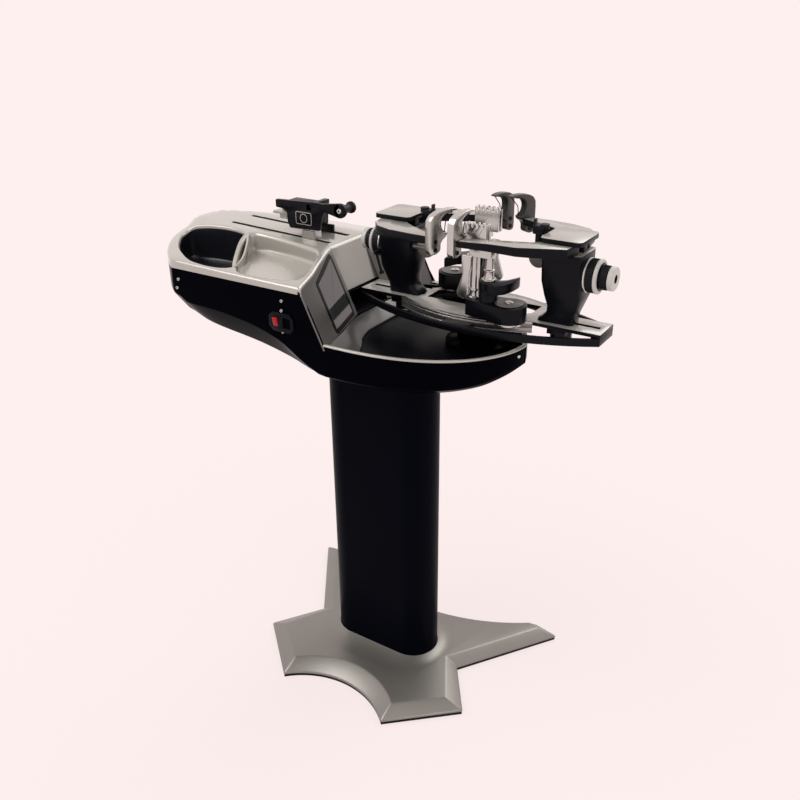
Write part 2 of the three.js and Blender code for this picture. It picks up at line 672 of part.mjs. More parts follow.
function makeTrayLiner() {
  const h = housing;
  const t = tray;
  const r = recess;
  const outline = trayOutline(h.wall + r.wall, h.slopeTop, h.slopeTop).filter(([x]) => x < t.end);
  const floor = slab(outline, t.floor, t.floor + t.floorThickness);
  const passage = block(-r.step, h.slopeTop + overrun, -r.half, r.half, t.floor,
      t.floor + t.floorThickness);
  const shelf = cut(block(-r.depth, -r.step + r.wall, -r.half, r.half, t.floor, r.floor),
    block(-r.depth + r.wall, -r.step, -r.half + r.wall, r.half - r.wall, 0, r.floor - r.wall));
  const hood = cut(block(-r.depth, -r.front, -r.half, r.half, r.floor - r.wall, r.ceiling),
    block(-r.depth + r.wall, 0, -r.half + r.wall, r.half - r.wall, r.floor, r.ceiling - r.wall));
  toMesh('tray_liner', join(floor, passage, shelf, hood), darkPlastic, machine);
}

// The mains inlet

function makeInlet() {
  const i = inlet;
  const face = -housing.near - gap;
  const w = i.width / 2;
  const t = i.tall / 2;
  const outline = [[-w + i.chamfer, -t], [w - i.chamfer, -t], [w, -t + i.chamfer], [w, t - i.chamfer],
      [w - i.chamfer, t],
    [-w + i.chamfer, t], [-w, t - i.chamfer], [-w, -t + i.chamfer]].map(([x, z]) => [x + i.x,
        z + i.height]);
  const plate = sidePlate(outline, face - i.plate, face);
  const body = block(i.x - i.bodyWidth / 2, i.x + i.bodyWidth / 2, face - i.plate / 2, face + i.bodyDepth,
    i.height - i.bodyTall / 2, i.height + i.bodyTall / 2);
  const rx = i.x - i.rockerOffset;
  const rockerHole = block(rx - i.rockerWidth / 2 - gap, rx + i.rockerWidth / 2 + gap, face - far,
      face + i.rockerDepth,
    i.height - i.rockerTall / 2 - gap, i.height + i.rockerTall / 2 + gap);
  const sx = i.x + i.socketOffset;
  const socket = block(sx - i.socketWidth / 2, sx + i.socketWidth / 2, face - far,
      face - i.plate + i.socketDepth,
    i.height - i.socketTall / 2, i.height + i.socketTall / 2);
  const tines = [-1, 0, 1].map((k) => block(sx - i.tine / 2 + k * i.tineRise * (1 + gap),
      sx + i.tine / 2 + k * i.tineRise * (1 + gap),
    face - i.plate + i.socketDepth - i.tineLength, face - i.plate + i.socketDepth + i.tine,
    i.height - i.tineRise * k * k / 2, i.height + i.tineRise));
  toMesh('power_inlet', join(cut(join(plate, body), rockerHole, socket), ...tines), black, machine);
  const proud = face - i.plate - i.rockerProud;
  const rocker = endPlate([[face + i.rockerDepth - 2 * gap, i.height],
      [proud + i.rockerProud, i.height + i.rockerTall / 2 - gap],
    [proud, i.height + i.rockerTall / 2 - 3 * gap], [proud + i.rockerProud / 2, i.height],
    [proud + i.rockerProud, i.height - i.rockerTall / 2 + gap]], rx - i.rockerWidth / 2,
        rx + i.rockerWidth / 2);
  toMesh('power_rocker', rocker, red, machine);
}

// The string tensioner, inside and above the housing

function railHoles(start, end, clearance) {
  return [-1, 0, 1].map((k) => {
    const radius = (k === 0 ? rails.screwRadius : rails.rodRadius) + clearance;
    return drum(radius, start, end, new THREE.Vector3(0, k * rails.rodOffset, rails.height), outward, 24);
  });
}

function makeRails() {
  const r = rails;
  const rearX = r.rearInset - housing.left;
  const names = ['guide_rod_near', 'lead_screw', 'guide_rod_far'];
  railHoles(rearX, r.frontX, 0).forEach((solid, i) => toMesh(names[i], solid, steel, machine));
  const shellFloor = (x) => housing.seam - housing.depth * atTable(undersideShares.map(([s,
      d]) => [s * housing.left, d]), x)
    + housing.wall + 2 * gap;
  [['rail_bracket_rear', rearX, 1], ['rail_bracket_front', r.frontX, -1]].forEach(([name, x, side]) => {
    const inner = x + side * r.bracket;
    const [x0, x1] = [Math.min(x, inner) - side * gap, Math.max(x, inner) - side * gap];
    const low = Math.max(shellFloor(x0), shellFloor(x1));
    const plate = block(x0, x1, -bracketSize.half, bracketSize.half, low, bracketSize.top);
    toMesh(name, cut(plate, ...railHoles(x0 - overrun, x1 + overrun, gap)), castGrey, machine);
  });
}

function makeCarriage() {
  const c = carriage;
  const x0 = c.centre - c.length / 2;
  const x1 = c.centre + c.length / 2;
  const body = block(x0, x1, -c.half, c.half, c.bottom, c.top);
  const necks = [-1, 1].map((side) => block(c.centre + c.neckShift - c.neckLength / 2,
      c.centre + c.neckShift + c.neckLength / 2,
    side * slot.offset - c.neckThickness / 2, side * slot.offset + c.neckThickness / 2, c.bottom,
        head.bottom - gap));
  toMesh('tension_carriage', cut(join(body, ...necks), ...railHoles(x0 - overrun, x1 + overrun, gap)),
      castGrey, machine);
  const m = motor;
  const at = new THREE.Vector3(c.centre - m.length / 2, m.offset, m.height);
  const can = turned([[0, 0], [m.radius, 0], [m.radius, m.length], [m.shaftRadius, m.length],
    [m.shaftRadius, m.length + m.gearLength / 2], [m.gearRadius, m.length + m.gearLength / 2],
    [m.gearRadius, m.length + 2 * m.gearLength], [0, m.length + 2 * m.gearLength]], at, outward);
  const lug = block(c.centre - m.length / 4, c.centre + m.length / 4, c.half + gap, m.offset,
      m.height - m.shaftRadius,
    m.height + m.shaftRadius);
  toMesh('drive_motor', join(can, lug), darkPlastic, machine);
}

// Side outlines of the head's plates: shares of the length from the back and of the height
const headShares = [
  [0, 0.93], [0, 0.66], [0.13, 0.64], [0.22, 0.54], [0.23, 0.2], [0.27, 0], [0.88, 0.06], [0.97, 0.55],
      [1, 0.7],
  [1, 0.97], [0.82, 1],
];
const farShares = [[0.04, 0.9], [0.04, 0.62], [0.22, 0.54], [0.23, 0.2], [0.27, 0], [0.78, 0], [0.8, 0.95],
  [0.6, 1]];

// Height of the near plate's arm over the hub's centre where it leaves the plate
const headArmShare = 0.6;

function makeHead() {
  const d = head;
  const length = d.back - d.front;
  const armHeight = d.bottom + d.armRise;
  const blockTop = d.bottom + d.blockRise;
  const jawTop = d.bottom + jaw.rise;
  const side = (shares, tall, y) => sidePlate(
    shares.map(([x, z]) => [-d.back + x * length, d.bottom + z * tall]), y, y + d.plate);
  const armStart = -d.front - d.hub / 2;
  const armProfile = [[armStart, armHeight - d.hub / 2], [-d.arm, armHeight - d.hub / 2],
    [-d.arm, armHeight + d.hub / 2], [armStart, armHeight + d.hub * headArmShare]];
  const hub = drum(d.hub, -d.half, -d.half + d.plate, new THREE.Vector3(-d.arm, 0, armHeight), across, 24);
  const near = join(side(headShares, d.tall, -d.half), sidePlate(armProfile, -d.half, -d.half + d.plate),
      hub);
  const back = side(farShares, d.farTall, d.half - d.plate);
  const core = block(-d.back + 2 * d.hub, -d.front - d.hub, -d.half, d.half, d.bottom, blockTop);
  const bridge = block(-d.bridgeBack, -d.bridgeFront, -d.half, d.half - d.plate / 2, jawTop - d.bridge,
      jawTop + d.bridge);
  const web = block(-d.bridgeBack + d.bridge, -d.bridgeFront - d.bridge, -d.half, 0, blockTop - d.bridge,
      jawTop);
  const low = d.bottom + d.tongueRise;
  const tongue = block(-d.tongueBack + d.lipLength, -d.back + 3 * d.hub, -d.tongueHalf, d.tongueHalf, low,
      low + d.tongue);
  const lip = block(-d.tongueBack, -d.back + d.lipLength, -d.tongueHalf, d.tongueHalf,
      low + d.tongue - d.lip, low + d.tongue);
  const fixedJaw = block(-jaw.back, -jaw.front, jaw.mouth / 2, d.half - d.plate / 2, blockTop - d.bridge,
      jawTop);
  const axle = drum(roller.axle, -d.half, roller.far + d.plate / 2, new THREE.Vector3(-d.arm, 0, armHeight),
      across, 16);
  toMesh('tension_head', join(near, back, core, bridge, web, tongue, lip, fixedJaw, axle), black, machine);
  const inner = -jaw.mouth / 2;
  const outerFace = -d.half + d.plate + gap + jaw.thickness / 2;
  const moving = endPlate([[inner, blockTop + gap], [inner, jawTop], [inner - jaw.thickness, jawTop],
    [outerFace, jawTop - jaw.slopeRise], [outerFace, blockTop + gap]], -jaw.back, -jaw.front);
  toMesh('gripper_jaw', moving, steel, machine);
  const w = roller;
  const bore = w.axle + gap;
  const spool = turned([[bore, w.near], [w.flange, w.near], [w.flange, w.near + w.rim],
      [w.waist, w.near + 2 * w.rim],
    [w.waist, w.far - 2 * w.rim], [w.flange, w.far - w.rim], [w.flange, w.far], [bore, w.far],
        [bore, w.near]],
  new THREE.Vector3(-d.arm, 0, armHeight), across, 28);
  toMesh('guide_roller', spool, darkPlastic, machine);
}

// The turntable: local origin on its axis at the plate's top

function tableEdge() {
  const t = turn;
  const corner = t.endHalf;
  const near = arch([-t.midLength - t.skew, -corner], [t.midLength - t.skew, -corner],
      -(t.nearEdge - corner), 14);
  const back = arch([t.midLength + t.skew, corner], [t.skew - t.midLength, corner], -(t.farEdge - corner),
      14);
  return { near, back };
}

function makeTable() {
  const t = turn;
  const { near, back } = tableEdge();
  const outline = [[-t.halfLength, -t.endHalf], ...near, [t.halfLength, -t.endHalf],
      [t.halfLength, t.endHalf], ...back,
    [-t.halfLength, t.endHalf]];
  const o = opening;
  const window = [[-o.back, -o.near], [o.front - o.corner, -o.near], [o.front, -o.near + o.corner],
      [o.front, o.far],
    [-o.back + o.corner, o.far], [-o.back, o.far - o.corner]];
  const slots = [-1, 1].map((side) => block(Math.min(side * towerSlot.start, side * towerSlot.end),
    Math.max(side * towerSlot.start, side * towerSlot.end), -towerSlot.half, towerSlot.half,
        -t.plate - overrun, overrun));
  const plate = cut(slab(outline, -t.plate, 0), slab(window, -t.plate - overrun, overrun), ...slots);
  toMesh('turntable_plate', plate, aluminium, table);
}

function railSection(x, y, nx, ny) {
  const r = rail;
  const side = r.width;
  const profile = [
    [0, 0], [side, 0], [side, -r.lip], [side - r.groove, -r.lip], [side - r.groove, -2 * r.lip],
        [side, -2 * r.lip],
    [side, -r.height + 2 * r.lip], [side - r.groove, -r.height + 2 * r.lip],
        [side - r.groove, -r.height + r.lip],
    [side, -r.height + r.lip], [side, -r.height], [0, -r.height],
  ];
  return profile.map(([out, z]) => [x + nx * out, y + ny * out, z]);
}

function makeRail(name, edge) {
  const rings = edge.map(([x, y], i) => {
    const before = edge[Math.max(i - 1, 0)];
    const after = edge[Math.min(i + 1, edge.length - 1)];
    const length = Math.hypot(after[0] - before[0], after[1] - before[1]);
    const nx = (after[1] - before[1]) / length;
    const ny = -(after[0] - before[0]) / length;
    return railSection(x + nx * gap, y + ny * gap, nx, ny);
  });
  toMesh(name, loft(rings), aluminium, table);
}

function makeFrame() {
  const t = turn;
  const f = frame;
  const top = -t.plate - gap;
  const low = top - f.height;
  const side = (inset) => {
    const end = t.halfLength - inset;
    const half = t.endHalf + gap - inset * f.endShare;
    const rise = f.peak - inset - half;
    return [...arch([-end, -half], [end, -half], -rise, 20), ...arch([end, half], [-end, half], -rise, 20)];
  };
  const outer = slab(side(0), low, top);
  const inner = slab(side(f.wall), low - overrun, top + overrun);
  const ring = cut(outer, inner);
  const cross = block(-f.crossHalf, f.crossHalf, -f.peak + f.wall / 2, f.peak - f.wall / 2, low, top);
  const notches = [[-t.nearEdge - rail.width - 2 * gap, -t.nearEdge + f.notch],
      [t.farEdge - f.notch, t.farEdge + rail.width + 2 * gap]]
    .map(([y0, y1]) => block(-f.crossHalf - overrun, f.crossHalf + overrun, y0, y1, -rail.height - 2 * gap,
        top + overrun));
  const ends = [-1, 1].map((s) => block(Math.min(s * (t.halfLength - f.block),
      s * (t.halfLength - f.wall / 2)),
    Math.max(s * (t.halfLength - f.block), s * (t.halfLength - f.wall / 2)), -t.endHalf + f.wall / 2,
        t.endHalf - f.wall / 2, low, top));
  const hub = drum(f.hubRadius, low - f.hubHeight, low + f.wall, new THREE.Vector3(), upward);
  const shaftFoot = tray.floor + tray.floorThickness + bearing.flangeHeight - turn.top;
  const shaft = drum(f.shaft, shaftFoot, low, new THREE.Vector3(), upward);
  toMesh('turntable_frame', join(cut(join(ring, cross), ...notches), ends[0], ends[1], hub, shaft), black,
      table);
}

function makeBearing() {
  const b = bearing;
  const low = tray.floor + tray.floorThickness + gap;
  const bore = frame.shaft + gap;
  const topZ = turn.top - turn.plate - gap - frame.height - frame.hubHeight - gap;
  const profile = [[bore, 0], [b.flange, 0], [b.flange, b.flangeHeight],
      [b.radius, b.flangeHeight + b.collarHeight],
    [b.radius, topZ - low - b.collarHeight], [b.collar, topZ - low], [bore, topZ - low], [bore, 0]];
  toMesh('bearing_housing', turned(profile, new THREE.Vector3(turn.x, 0, low), upward, 32), darkPlastic,
      machine);
}

// One tower with its arms, in the half of the turntable that points along +X

// Sections from the foot up: height, inner face, outer face and half width
const towerShares = [
  [0, 0, 0, 0], [0.035, 0.12, 0, 0], [0.08, 0.55, 0.02, 0.03], [0.14, 0.9, 0.12, 0.07],
      [0.24, 1, 0.45, 0.24],
  [0.4, 0.72, 1, 0.53], [0.6, 0.48, 1, 0.82], [0.86, 0.46, 1, 1], [1, 0.46, 1, 1],
];

function towerBody() {
  const t = tower;
  const rings = towerShares.map(([z, inner, outer, half]) => {
    const x0 = t.footIn + t.flare * inner;
    const x1 = t.footOut + (t.headOut - t.footOut) * outer;
    const y = t.footHalf + (t.headHalf - t.footHalf) * half;
    return atHeight(roundedBox(x0, x1, -y, y, t.corner), Math.max(z * t.top, gap));
  });
  return loft(rings);
}

function makeTower(half, side) {
  const t = tower;
  const armTop = t.top + arm.thickness + 2 * gap;
  const capTop = armTop + t.cap;
  const cap = slab(roundedBox(t.capIn, t.capOut, -t.capHalf, t.capHalf, t.corner), armTop, capTop);
  const spine = block(t.capIn + t.corner, t.capOut - t.corner, -t.spineHalf, t.spineHalf, t.top - overrun,
      armTop + t.cap / 2);
  const pins = [-1, 1].map((s) => drum(arm.pin, t.top - overrun, armTop + t.cap / 2,
    new THREE.Vector3(arm.pivotX, s * arm.pivotY, 0), upward, 16));
  const boss = drum(t.bossRadius, t.bossStart, t.bossEnd, new THREE.Vector3(0, 0, t.knobHeight), outward,
      36);
  const tongueLow = -turn.plate - 2 * gap;
  const tongue = block(t.tongueIn, t.tongueOut, -t.tongueHalf, t.tongueHalf, tongueLow - t.blockHeight / 2,
      t.corner);
  const foot = block(t.tongueIn, t.tongueOut, -t.blockHalf, t.blockHalf, tongueLow - t.blockHeight,
      tongueLow);
  const under = drum(t.underKnob, tongueLow - t.blockHeight - t.underKnobDepth,
      tongueLow - t.blockHeight / 2,
    new THREE.Vector3((t.tongueIn + t.tongueOut) / 2, 0, 0), upward, 20);
  const shelf = block(t.shelfIn, t.headIn + t.corner * 2, -t.shelfHalf, t.shelfHalf,
      t.top - t.shelfDrop - t.shelf,
    t.top - t.shelfDrop);
  const shelfBore = drum(support.post + gap, t.top - t.shelfDrop - t.shelf - overrun,
      t.top - t.shelfDrop + gap,
    new THREE.Vector3(support.x, 0, 0), upward, 20);
  const body = cut(join(towerBody(), cap, spine, pins[0], pins[1], boss, tongue, foot, under, shelf),
      shelfBore);
  toMesh(`tower_${side}`, body, black, half);
}

// Arm outlines from the root to the tip, as shares of the root's distance and of the tip's offset
const armOutlines = {
  long: {
    outer: [[1, 0.26], [0.97, 0.56], [0.8, 0.69], [0.57, 0.86], [0.3, 0.9], [0.04, 1]],
    inner: [[0.055, 0.79], [0.3, 0.62], [0.6, 0.45], [0.7, 0.32], [0.79, 0.12], [0.9, 0.12], [1, 0.2]],
  },
  short: {
    outer: [[1, 0.26], [0.97, 0.6], [0.88, 0.8], [0.68, 0.94], [0.48, 0.98], [0.24, 1]],
    inner: [[0.2, 0.81], [0.4, 0.68], [0.56, 0.55], [0.7, 0.36], [0.79, 0.12], [0.9, 0.12], [1, 0.2]],
  },
};

const armPoints = (shares, direction) => shares.map(([x, y]) => [x * arm.root,
  direction * y * arm.tipWidth]);

function makeArm(half, name, direction, shares) {
  const a = arm;
  const outline = armPoints([...shares.outer, ...shares.inner], direction);
  const low = tower.top + gap;
  const plate = slab(outline, low, low + a.thickness);
  const bore = drum(a.pin + gap, low - overrun, low + a.thickness + overrun,
    new THREE.Vector3(a.pivotX, direction * a.pivotY, 0), upward, 16);
  const taper = sidePlate([[0, low + a.thickness], [a.root + overrun, low + a.thickness],
      [a.root + overrun, low],
    [a.pivotX - a.taper, low], [0, low + a.tipRise]], -far, far);
  toMesh(name, cut(plate.intersect(taper), bore), black, half);
}

// A hook stands against an arm's end face and opens towards the middle
function makeHook(half, name, direction, shares) {
  const h = hook;
  const [tip] = armPoints(shares.outer.slice(-1), direction);
  const [root] = armPoints(shares.inner.slice(0, 1), direction);
  const inwards = new THREE.Vector3(root[0] - tip[0], root[1] - tip[1], 0).normalize();
  const away = new THREE.Vector3(-Math.abs(inwards.y), inwards.x * Math.sign(inwards.y), 0);
  const centre = h.outer - h.back;
  const start = Math.PI * h.mouthStart;
  const end = Math.PI * h.mouthEnd;
  const beak = [[centre + h.reach, h.height + h.beakHeight],
      [centre + h.reach - h.beak / 2, h.height + h.beakHeight - h.beak]];
  const claw = [...beak, ...circle(centre, h.height, h.inner, start, end, 14),
      [centre + h.lip, h.height - h.outer + h.step],
    [centre + h.lip, h.height - h.outer], [h.stem - h.back, h.height - h.outer - h.step],
        [h.stem - h.back, h.bottom + h.step],
    [h.step - h.back, h.bottom], [-h.back, h.bottom + h.step],
        ...circle(centre, h.height, h.outer, start, Math.PI, 12).reverse()];
  const shape = new THREE.Shape(claw.map(([y, z]) => new THREE.Vector2(y, z)));
  const geometry = new THREE.ExtrudeGeometry(shape, { depth: h.width, bevelEnabled: false });
  const matrix = new THREE.Matrix4().makeBasis(inwards, upward, away);
  matrix.setPosition(tip[0] + away.x * gap, tip[1] + away.y * gap, 0);
  toMesh(name, matrixSolid(geometry, matrix), steel, half);
}

function makeSupport(half, side) {
  const s = support;
  const low = tower.top - tower.shelfDrop + gap;
  const axis = new THREE.Vector3(s.x, 0, 0);
  const post = turned([[0, low - tower.shelf], [s.post, low - tower.shelf], [s.post, low], [s.neck, low],
    [s.neck, low + s.discHeight], [s.post, low + 2 * s.discHeight], [s.post, s.padBottom],
        [0, s.padBottom]],
  axis, upward, 20);
  const pad = slab(roundedBox(s.x - s.pad, s.x + s.pad + s.lip, -s.pad, s.pad, s.lip),
      s.padBottom - s.discHeight,
    s.padBottom + s.padHeight);
  const disc = drum(s.disc, s.padBottom + s.padHeight / 2, s.padBottom + s.padHeight + s.discHeight,
    new THREE.Vector3(s.discX, 0, 0), upward, 24);
  const lip = block(s.x - s.pad, s.x - s.pad + s.lip, -s.pad / 2, s.pad / 2, s.padBottom,
      s.padBottom + s.padHeight + s.lipHeight);
  toMesh(`center_support_${side}`, join(post, pad, disc, lip), darkPlastic, half);
}

function makeKnobs(half, side) {
  const k = armKnob;
  const origin = new THREE.Vector3(tower.bossEnd + gap, 0, tower.knobHeight);
  const bore = supportKnob.socket;
  const profile = [[bore + gap, 0], [k.radius, 0], [k.radius, k.length / 3],
      [k.radius - k.rib, k.length / 3 + k.rib],
    [k.radius, k.length / 2], [k.radius, k.length], [k.ring, k.length], [k.ring, k.length + k.ringLength],
    [bore + gap, k.length + k.ringLength], [bore + gap, 0]];
  toMesh(`arm_knob_${side}`, turned(profile, origin, outward, 32), black, half);
  const s = supportKnob;
  const start = k.length + k.ringLength + gap;
  const end = start + s.length;
  const spindleKnob = turned([[0, gap], [bore, gap], [bore, start], [s.radius, start], [s.radius, end],
      [s.socket, end],
    [s.socket, end - s.socketDepth], [0, end - s.socketDepth]], origin, outward, 32);
  toMesh(`support_knob_${side}`, spindleKnob, black, half);
}

function makeLevers(half, side) {
  const l = sideLever;
  const axis = new THREE.Vector3(0, l.y, l.height);
  const bar = drum(l.bar, l.x - l.barLength / 2, tower.headIn - 2 * gap, axis, outward, 16);
  const disc = sidePlate([...circle(l.x - l.barLength / 2, l.height, l.radius, Math.PI * (1 - l.flat),
    Math.PI * (2 + l.flat), 16)],
    l.y - l.thickness / 2, l.y + l.thickness / 2);
  toMesh(`side_lever_${side}`, join(bar, disc), castGrey, half);
  const k = lockLever;
  const top = new THREE.Vector3(k.x, k.y, k.height);
  const axisDown = new THREE.Vector3(-k.lean, 0, -k.length).normalize();
  const rod = drum(k.radius, 0, k.length, top, axisDown, 12);
  const foot = drum(k.foot, k.length - k.footHeight / 2, k.length + k.footHeight / 2, top, axisDown, 14);
  const pin = drum(k.pin, k.pinStart, k.y + k.pin, new THREE.Vector3(k.x, 0, k.height), across, 16);
  toMesh(`lock_lever_${side}`, join(rod, foot, pin), black, half);
}

// One string clamp, on the near side of the half that points along +X

function makeClamp(half, side) {
  const c = clamp;
  const origin = new THREE.Vector3(c.x, -c.y, gap);
  const armLow = c.flangeHeight + gap;
  const armTop = armLow + c.armHeight;
  const profile = [[0, 0], [c.flange, 0], [c.flange, c.flangeHeight], [c.axle, c.flangeHeight],
      [c.axle, armTop + gap],
    [0, armTop]];
  toMesh(`clamp_slide_${side}`, turned(profile, origin, upward, 36), steel, half);
  const tail = c.x - c.armLength;
  const outline = [...circle(c.x, -c.y, c.armHalf, -Math.PI / 2, Math.PI / 2, 18),
      [tail, -c.y + c.tailHalf],
    [tail, -c.y - c.tailHalf]];
  const z0 = gap + armLow;
  const z1 = gap + armTop;
  const bore = drum(c.axle + gap, z0 - overrun, z1 + overrun, new THREE.Vector3(c.x, -c.y, 0), upward, 24);
  const turretLow = drum(c.turret, z1 - gap, z1 + c.turretHeight, new THREE.Vector3(c.turretX, -c.y, 0),
      upward, 28);
  toMesh(`clamp_arm_${side}`, join(cut(slab(outline, z0, z1), bore), turretLow), black, half);
  makePost(half, side, z1);
  makePaddle(half, side, z1);
}

function makePost(half, side, z1) {
  const c = clamp;
  const low = z1 + c.turretHeight + paddle.height + 2 * gap;
  const rear = turned([[0, low], [c.base, low], [c.base, low + c.collarHeight],
      [c.collar, low + c.collarHeight],
    [c.collar, low + 2 * c.collarHeight], [c.lower, low + 2 * c.collarHeight], [c.lower, c.collarAt],
        [c.collar, c.collarAt], [c.collar, c.collarAt + c.collarHeight / 2],
    [c.postRadius, c.collarAt + c.collarHeight], [c.postRadius, c.postTop], [0, c.postTop]],
  new THREE.Vector3(c.turretX, -c.y, 0), upward, 24);
  const frontLow = z1 + gap;
  const front = turned([[0, frontLow], [c.collar, frontLow], [c.collar, frontLow + c.collarHeight / 2],
    [c.frontPost, frontLow + c.collarHeight], [c.frontPost, c.ringAt], [c.lower, c.ringAt],
    [c.lower, c.ringAt + c.collarHeight], [c.frontPost, c.ringAt + c.collarHeight],
        [c.frontPost, c.postTop],
    [0, c.postTop]], new THREE.Vector3(c.postX, -c.y, 0), upward, 20);
  const stayX = c.postX + c.frontPost - gap;
  const stay = block(stayX, stayX + c.stay, -c.y - c.stay / 2, -c.y + c.stay / 2, frontLow,
      c.postTop + gap);
  const headTop = c.postTop + c.block;
  const carrier = block(c.postX - c.frontPost, c.turretX + c.postRadius, -c.y - c.collar, -c.y + c.collar,
      c.postTop - gap, headTop);
  const fixed = jawPlate(-c.y - c.mouth / 2 - c.jawThickness, -c.y - c.mouth / 2, headTop - gap);
  toMesh(`clamp_post_${side}`, join(rear, front, stay, carrier, fixed), steel, half);
  const moving = jawPlate(-c.y + c.mouth / 2, -c.y + c.mouth / 2 + c.jawThickness, headTop + gap);
  toMesh(`clamp_jaw_${side}`, moving, steel, half);
  const s = spoon;
  const rightX = c.postX - c.frontPost - 2 * gap;
  const bulbX = rightX - s.head / 2 - s.shift;
  const blade = [...circle(rightX - s.pin, s.top - s.pin, s.pin, 0, Math.PI / 2, 4),
      [rightX - s.head, s.top],
    [rightX - s.head, s.top - s.drop / 4],
    [rightX - s.head + s.shift / 3, s.top - s.drop / 2],
    ...circle(bulbX, s.top - s.drop, s.bulb, Math.PI, 2 * Math.PI, 12),
    [rightX - s.head + s.neck + s.shift / 3, s.top - s.drop / 2], [rightX, s.top - s.drop / 4]];
  toMesh(`clamp_lever_${side}`, sidePlate(blade, -c.y - s.half, -c.y + s.half), steel, half);
}

// One tooth of a jaw's top, from the front: shares of the pitch backwards and of the depth down
const toothShares = [[0, 0], [0.35, 0], [0.65, 1], [0.9, 1]];

function jawPlate(y0, y1, low) {
  const c = clamp;
  const length = c.headFront - c.headBack;
  const pitch = length / c.teeth;
  const points = [[c.headBack, low], [c.headFront, low]];
  for (let i = c.teeth; i > 0; i -= 1) {
    toothShares.forEach(([back, drop]) => {
      points.push([c.headBack + (i - back) * pitch, c.jawTop - drop * c.toothDepth]);
    });
  }
  points.push([c.headBack, c.jawTop - c.toothDepth / 2]);
  return sidePlate(points, y0, y1);
}

function makePaddle(half, side, z1) {
  const p = paddle;
  const c = clamp;
  const low = z1 + c.turretHeight + gap;
  const hub = drum(p.hub, low, low + p.height, new THREE.Vector3(c.turretX, -c.y, 0), upward, 28);
  const horn = [...p.outerShares, ...p.innerShares].map(([x, y]) => [c.turretX + x * p.reach,
      y * p.reach - c.y]);
  const crescent = slab(horn, low, low + p.height);
  toMesh(`clamp_paddle_${side}`, join(hub, crescent), black, half);
}

function makeHalf(side, angle) {
  const half = new THREE.Group();
  half.rotation.z = angle;
  table.add(half);
  makeTower(half, side);
  makeArm(half, `arm_long_${side}`, -1, armOutlines.long);
  makeArm(half, `arm_short_${side}`, 1, armOutlines.short);
  makeHook(half, `hook_long_${side}`, -1, armOutlines.long);
  makeHook(half, `hook_short_${side}`, 1, armOutlines.short);
  makeSupport(half, side);
  makeKnobs(half, side);
  makeLevers(half, side);
  makeClamp(half, side);
}

makeBase();
const shellOuter = makeShell();
makeColumn(shellOuter);
const coverOuter = makeCover();
makePanel();
makeBin(coverOuter);
makeTrayLiner();
makeInlet();
makeRails();
makeCarriage();
makeHead();
makeTable();
makeFrame();
makeRail('glide_rail_near', tableEdge().near);
makeRail('glide_rail_far', tableEdge().back);
makeBearing();
makeHalf('right', 0);
makeHalf('left', Math.PI);

export default machine;
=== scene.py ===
# Racket stringing machine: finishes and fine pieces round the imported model
import bisect
import json
import math
from types import SimpleNamespace
import bmesh
import bpy
from mathutils import Matrix, Vector
from mathutils.geometry import delaunay_2d_cdt

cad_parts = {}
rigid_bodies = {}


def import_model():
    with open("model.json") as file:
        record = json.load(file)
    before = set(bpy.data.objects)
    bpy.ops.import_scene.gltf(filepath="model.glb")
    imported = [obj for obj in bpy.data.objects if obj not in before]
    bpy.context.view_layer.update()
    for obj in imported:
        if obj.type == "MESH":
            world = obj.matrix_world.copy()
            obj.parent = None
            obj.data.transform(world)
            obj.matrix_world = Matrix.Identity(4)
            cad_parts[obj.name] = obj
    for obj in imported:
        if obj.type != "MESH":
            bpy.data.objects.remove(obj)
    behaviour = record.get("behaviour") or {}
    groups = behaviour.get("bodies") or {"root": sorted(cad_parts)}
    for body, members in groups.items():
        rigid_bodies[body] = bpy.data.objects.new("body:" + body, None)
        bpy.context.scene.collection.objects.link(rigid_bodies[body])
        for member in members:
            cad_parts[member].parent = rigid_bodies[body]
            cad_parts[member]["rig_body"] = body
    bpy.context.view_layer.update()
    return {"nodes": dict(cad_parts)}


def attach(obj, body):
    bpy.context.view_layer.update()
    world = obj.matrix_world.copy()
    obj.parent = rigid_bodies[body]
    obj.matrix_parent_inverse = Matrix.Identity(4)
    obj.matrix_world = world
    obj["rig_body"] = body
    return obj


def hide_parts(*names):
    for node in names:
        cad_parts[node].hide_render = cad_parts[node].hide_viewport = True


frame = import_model()
print("frame loaded")

mm = 0.001
quarter = math.pi / 2

# The camera stands where the photograph was taken from
photoCamera = SimpleNamespace(
    place=(0.906678, -1.33518, 1.426062),
    right=(0.841125, 0.540759, -0.009412),
    up=(-0.229959, 0.373332, 0.898745),
    back=(0.489518, -0.753792, 0.438371),
    focalPixels=863.1,
    imagePixels=800,
    sensor=36,
)


def placeCamera(c):
    data = bpy.data.cameras.new("photoCamera")
    data.sensor_width = c.sensor
    data.lens = c.focalPixels / c.imagePixels * c.sensor
    data.clip_start = 0.05
    turn = Matrix((c.right, c.up, c.back)).transposed().to_4x4()
    cam = bpy.data.objects.new("photoCamera", data)
    cam.matrix_world = Matrix.Translation(c.place) @ turn
    bpy.context.scene.collection.objects.link(cam)
    bpy.context.scene.camera = cam


placeCamera(photoCamera)
bpy.context.scene.view_settings.view_transform = "Standard"

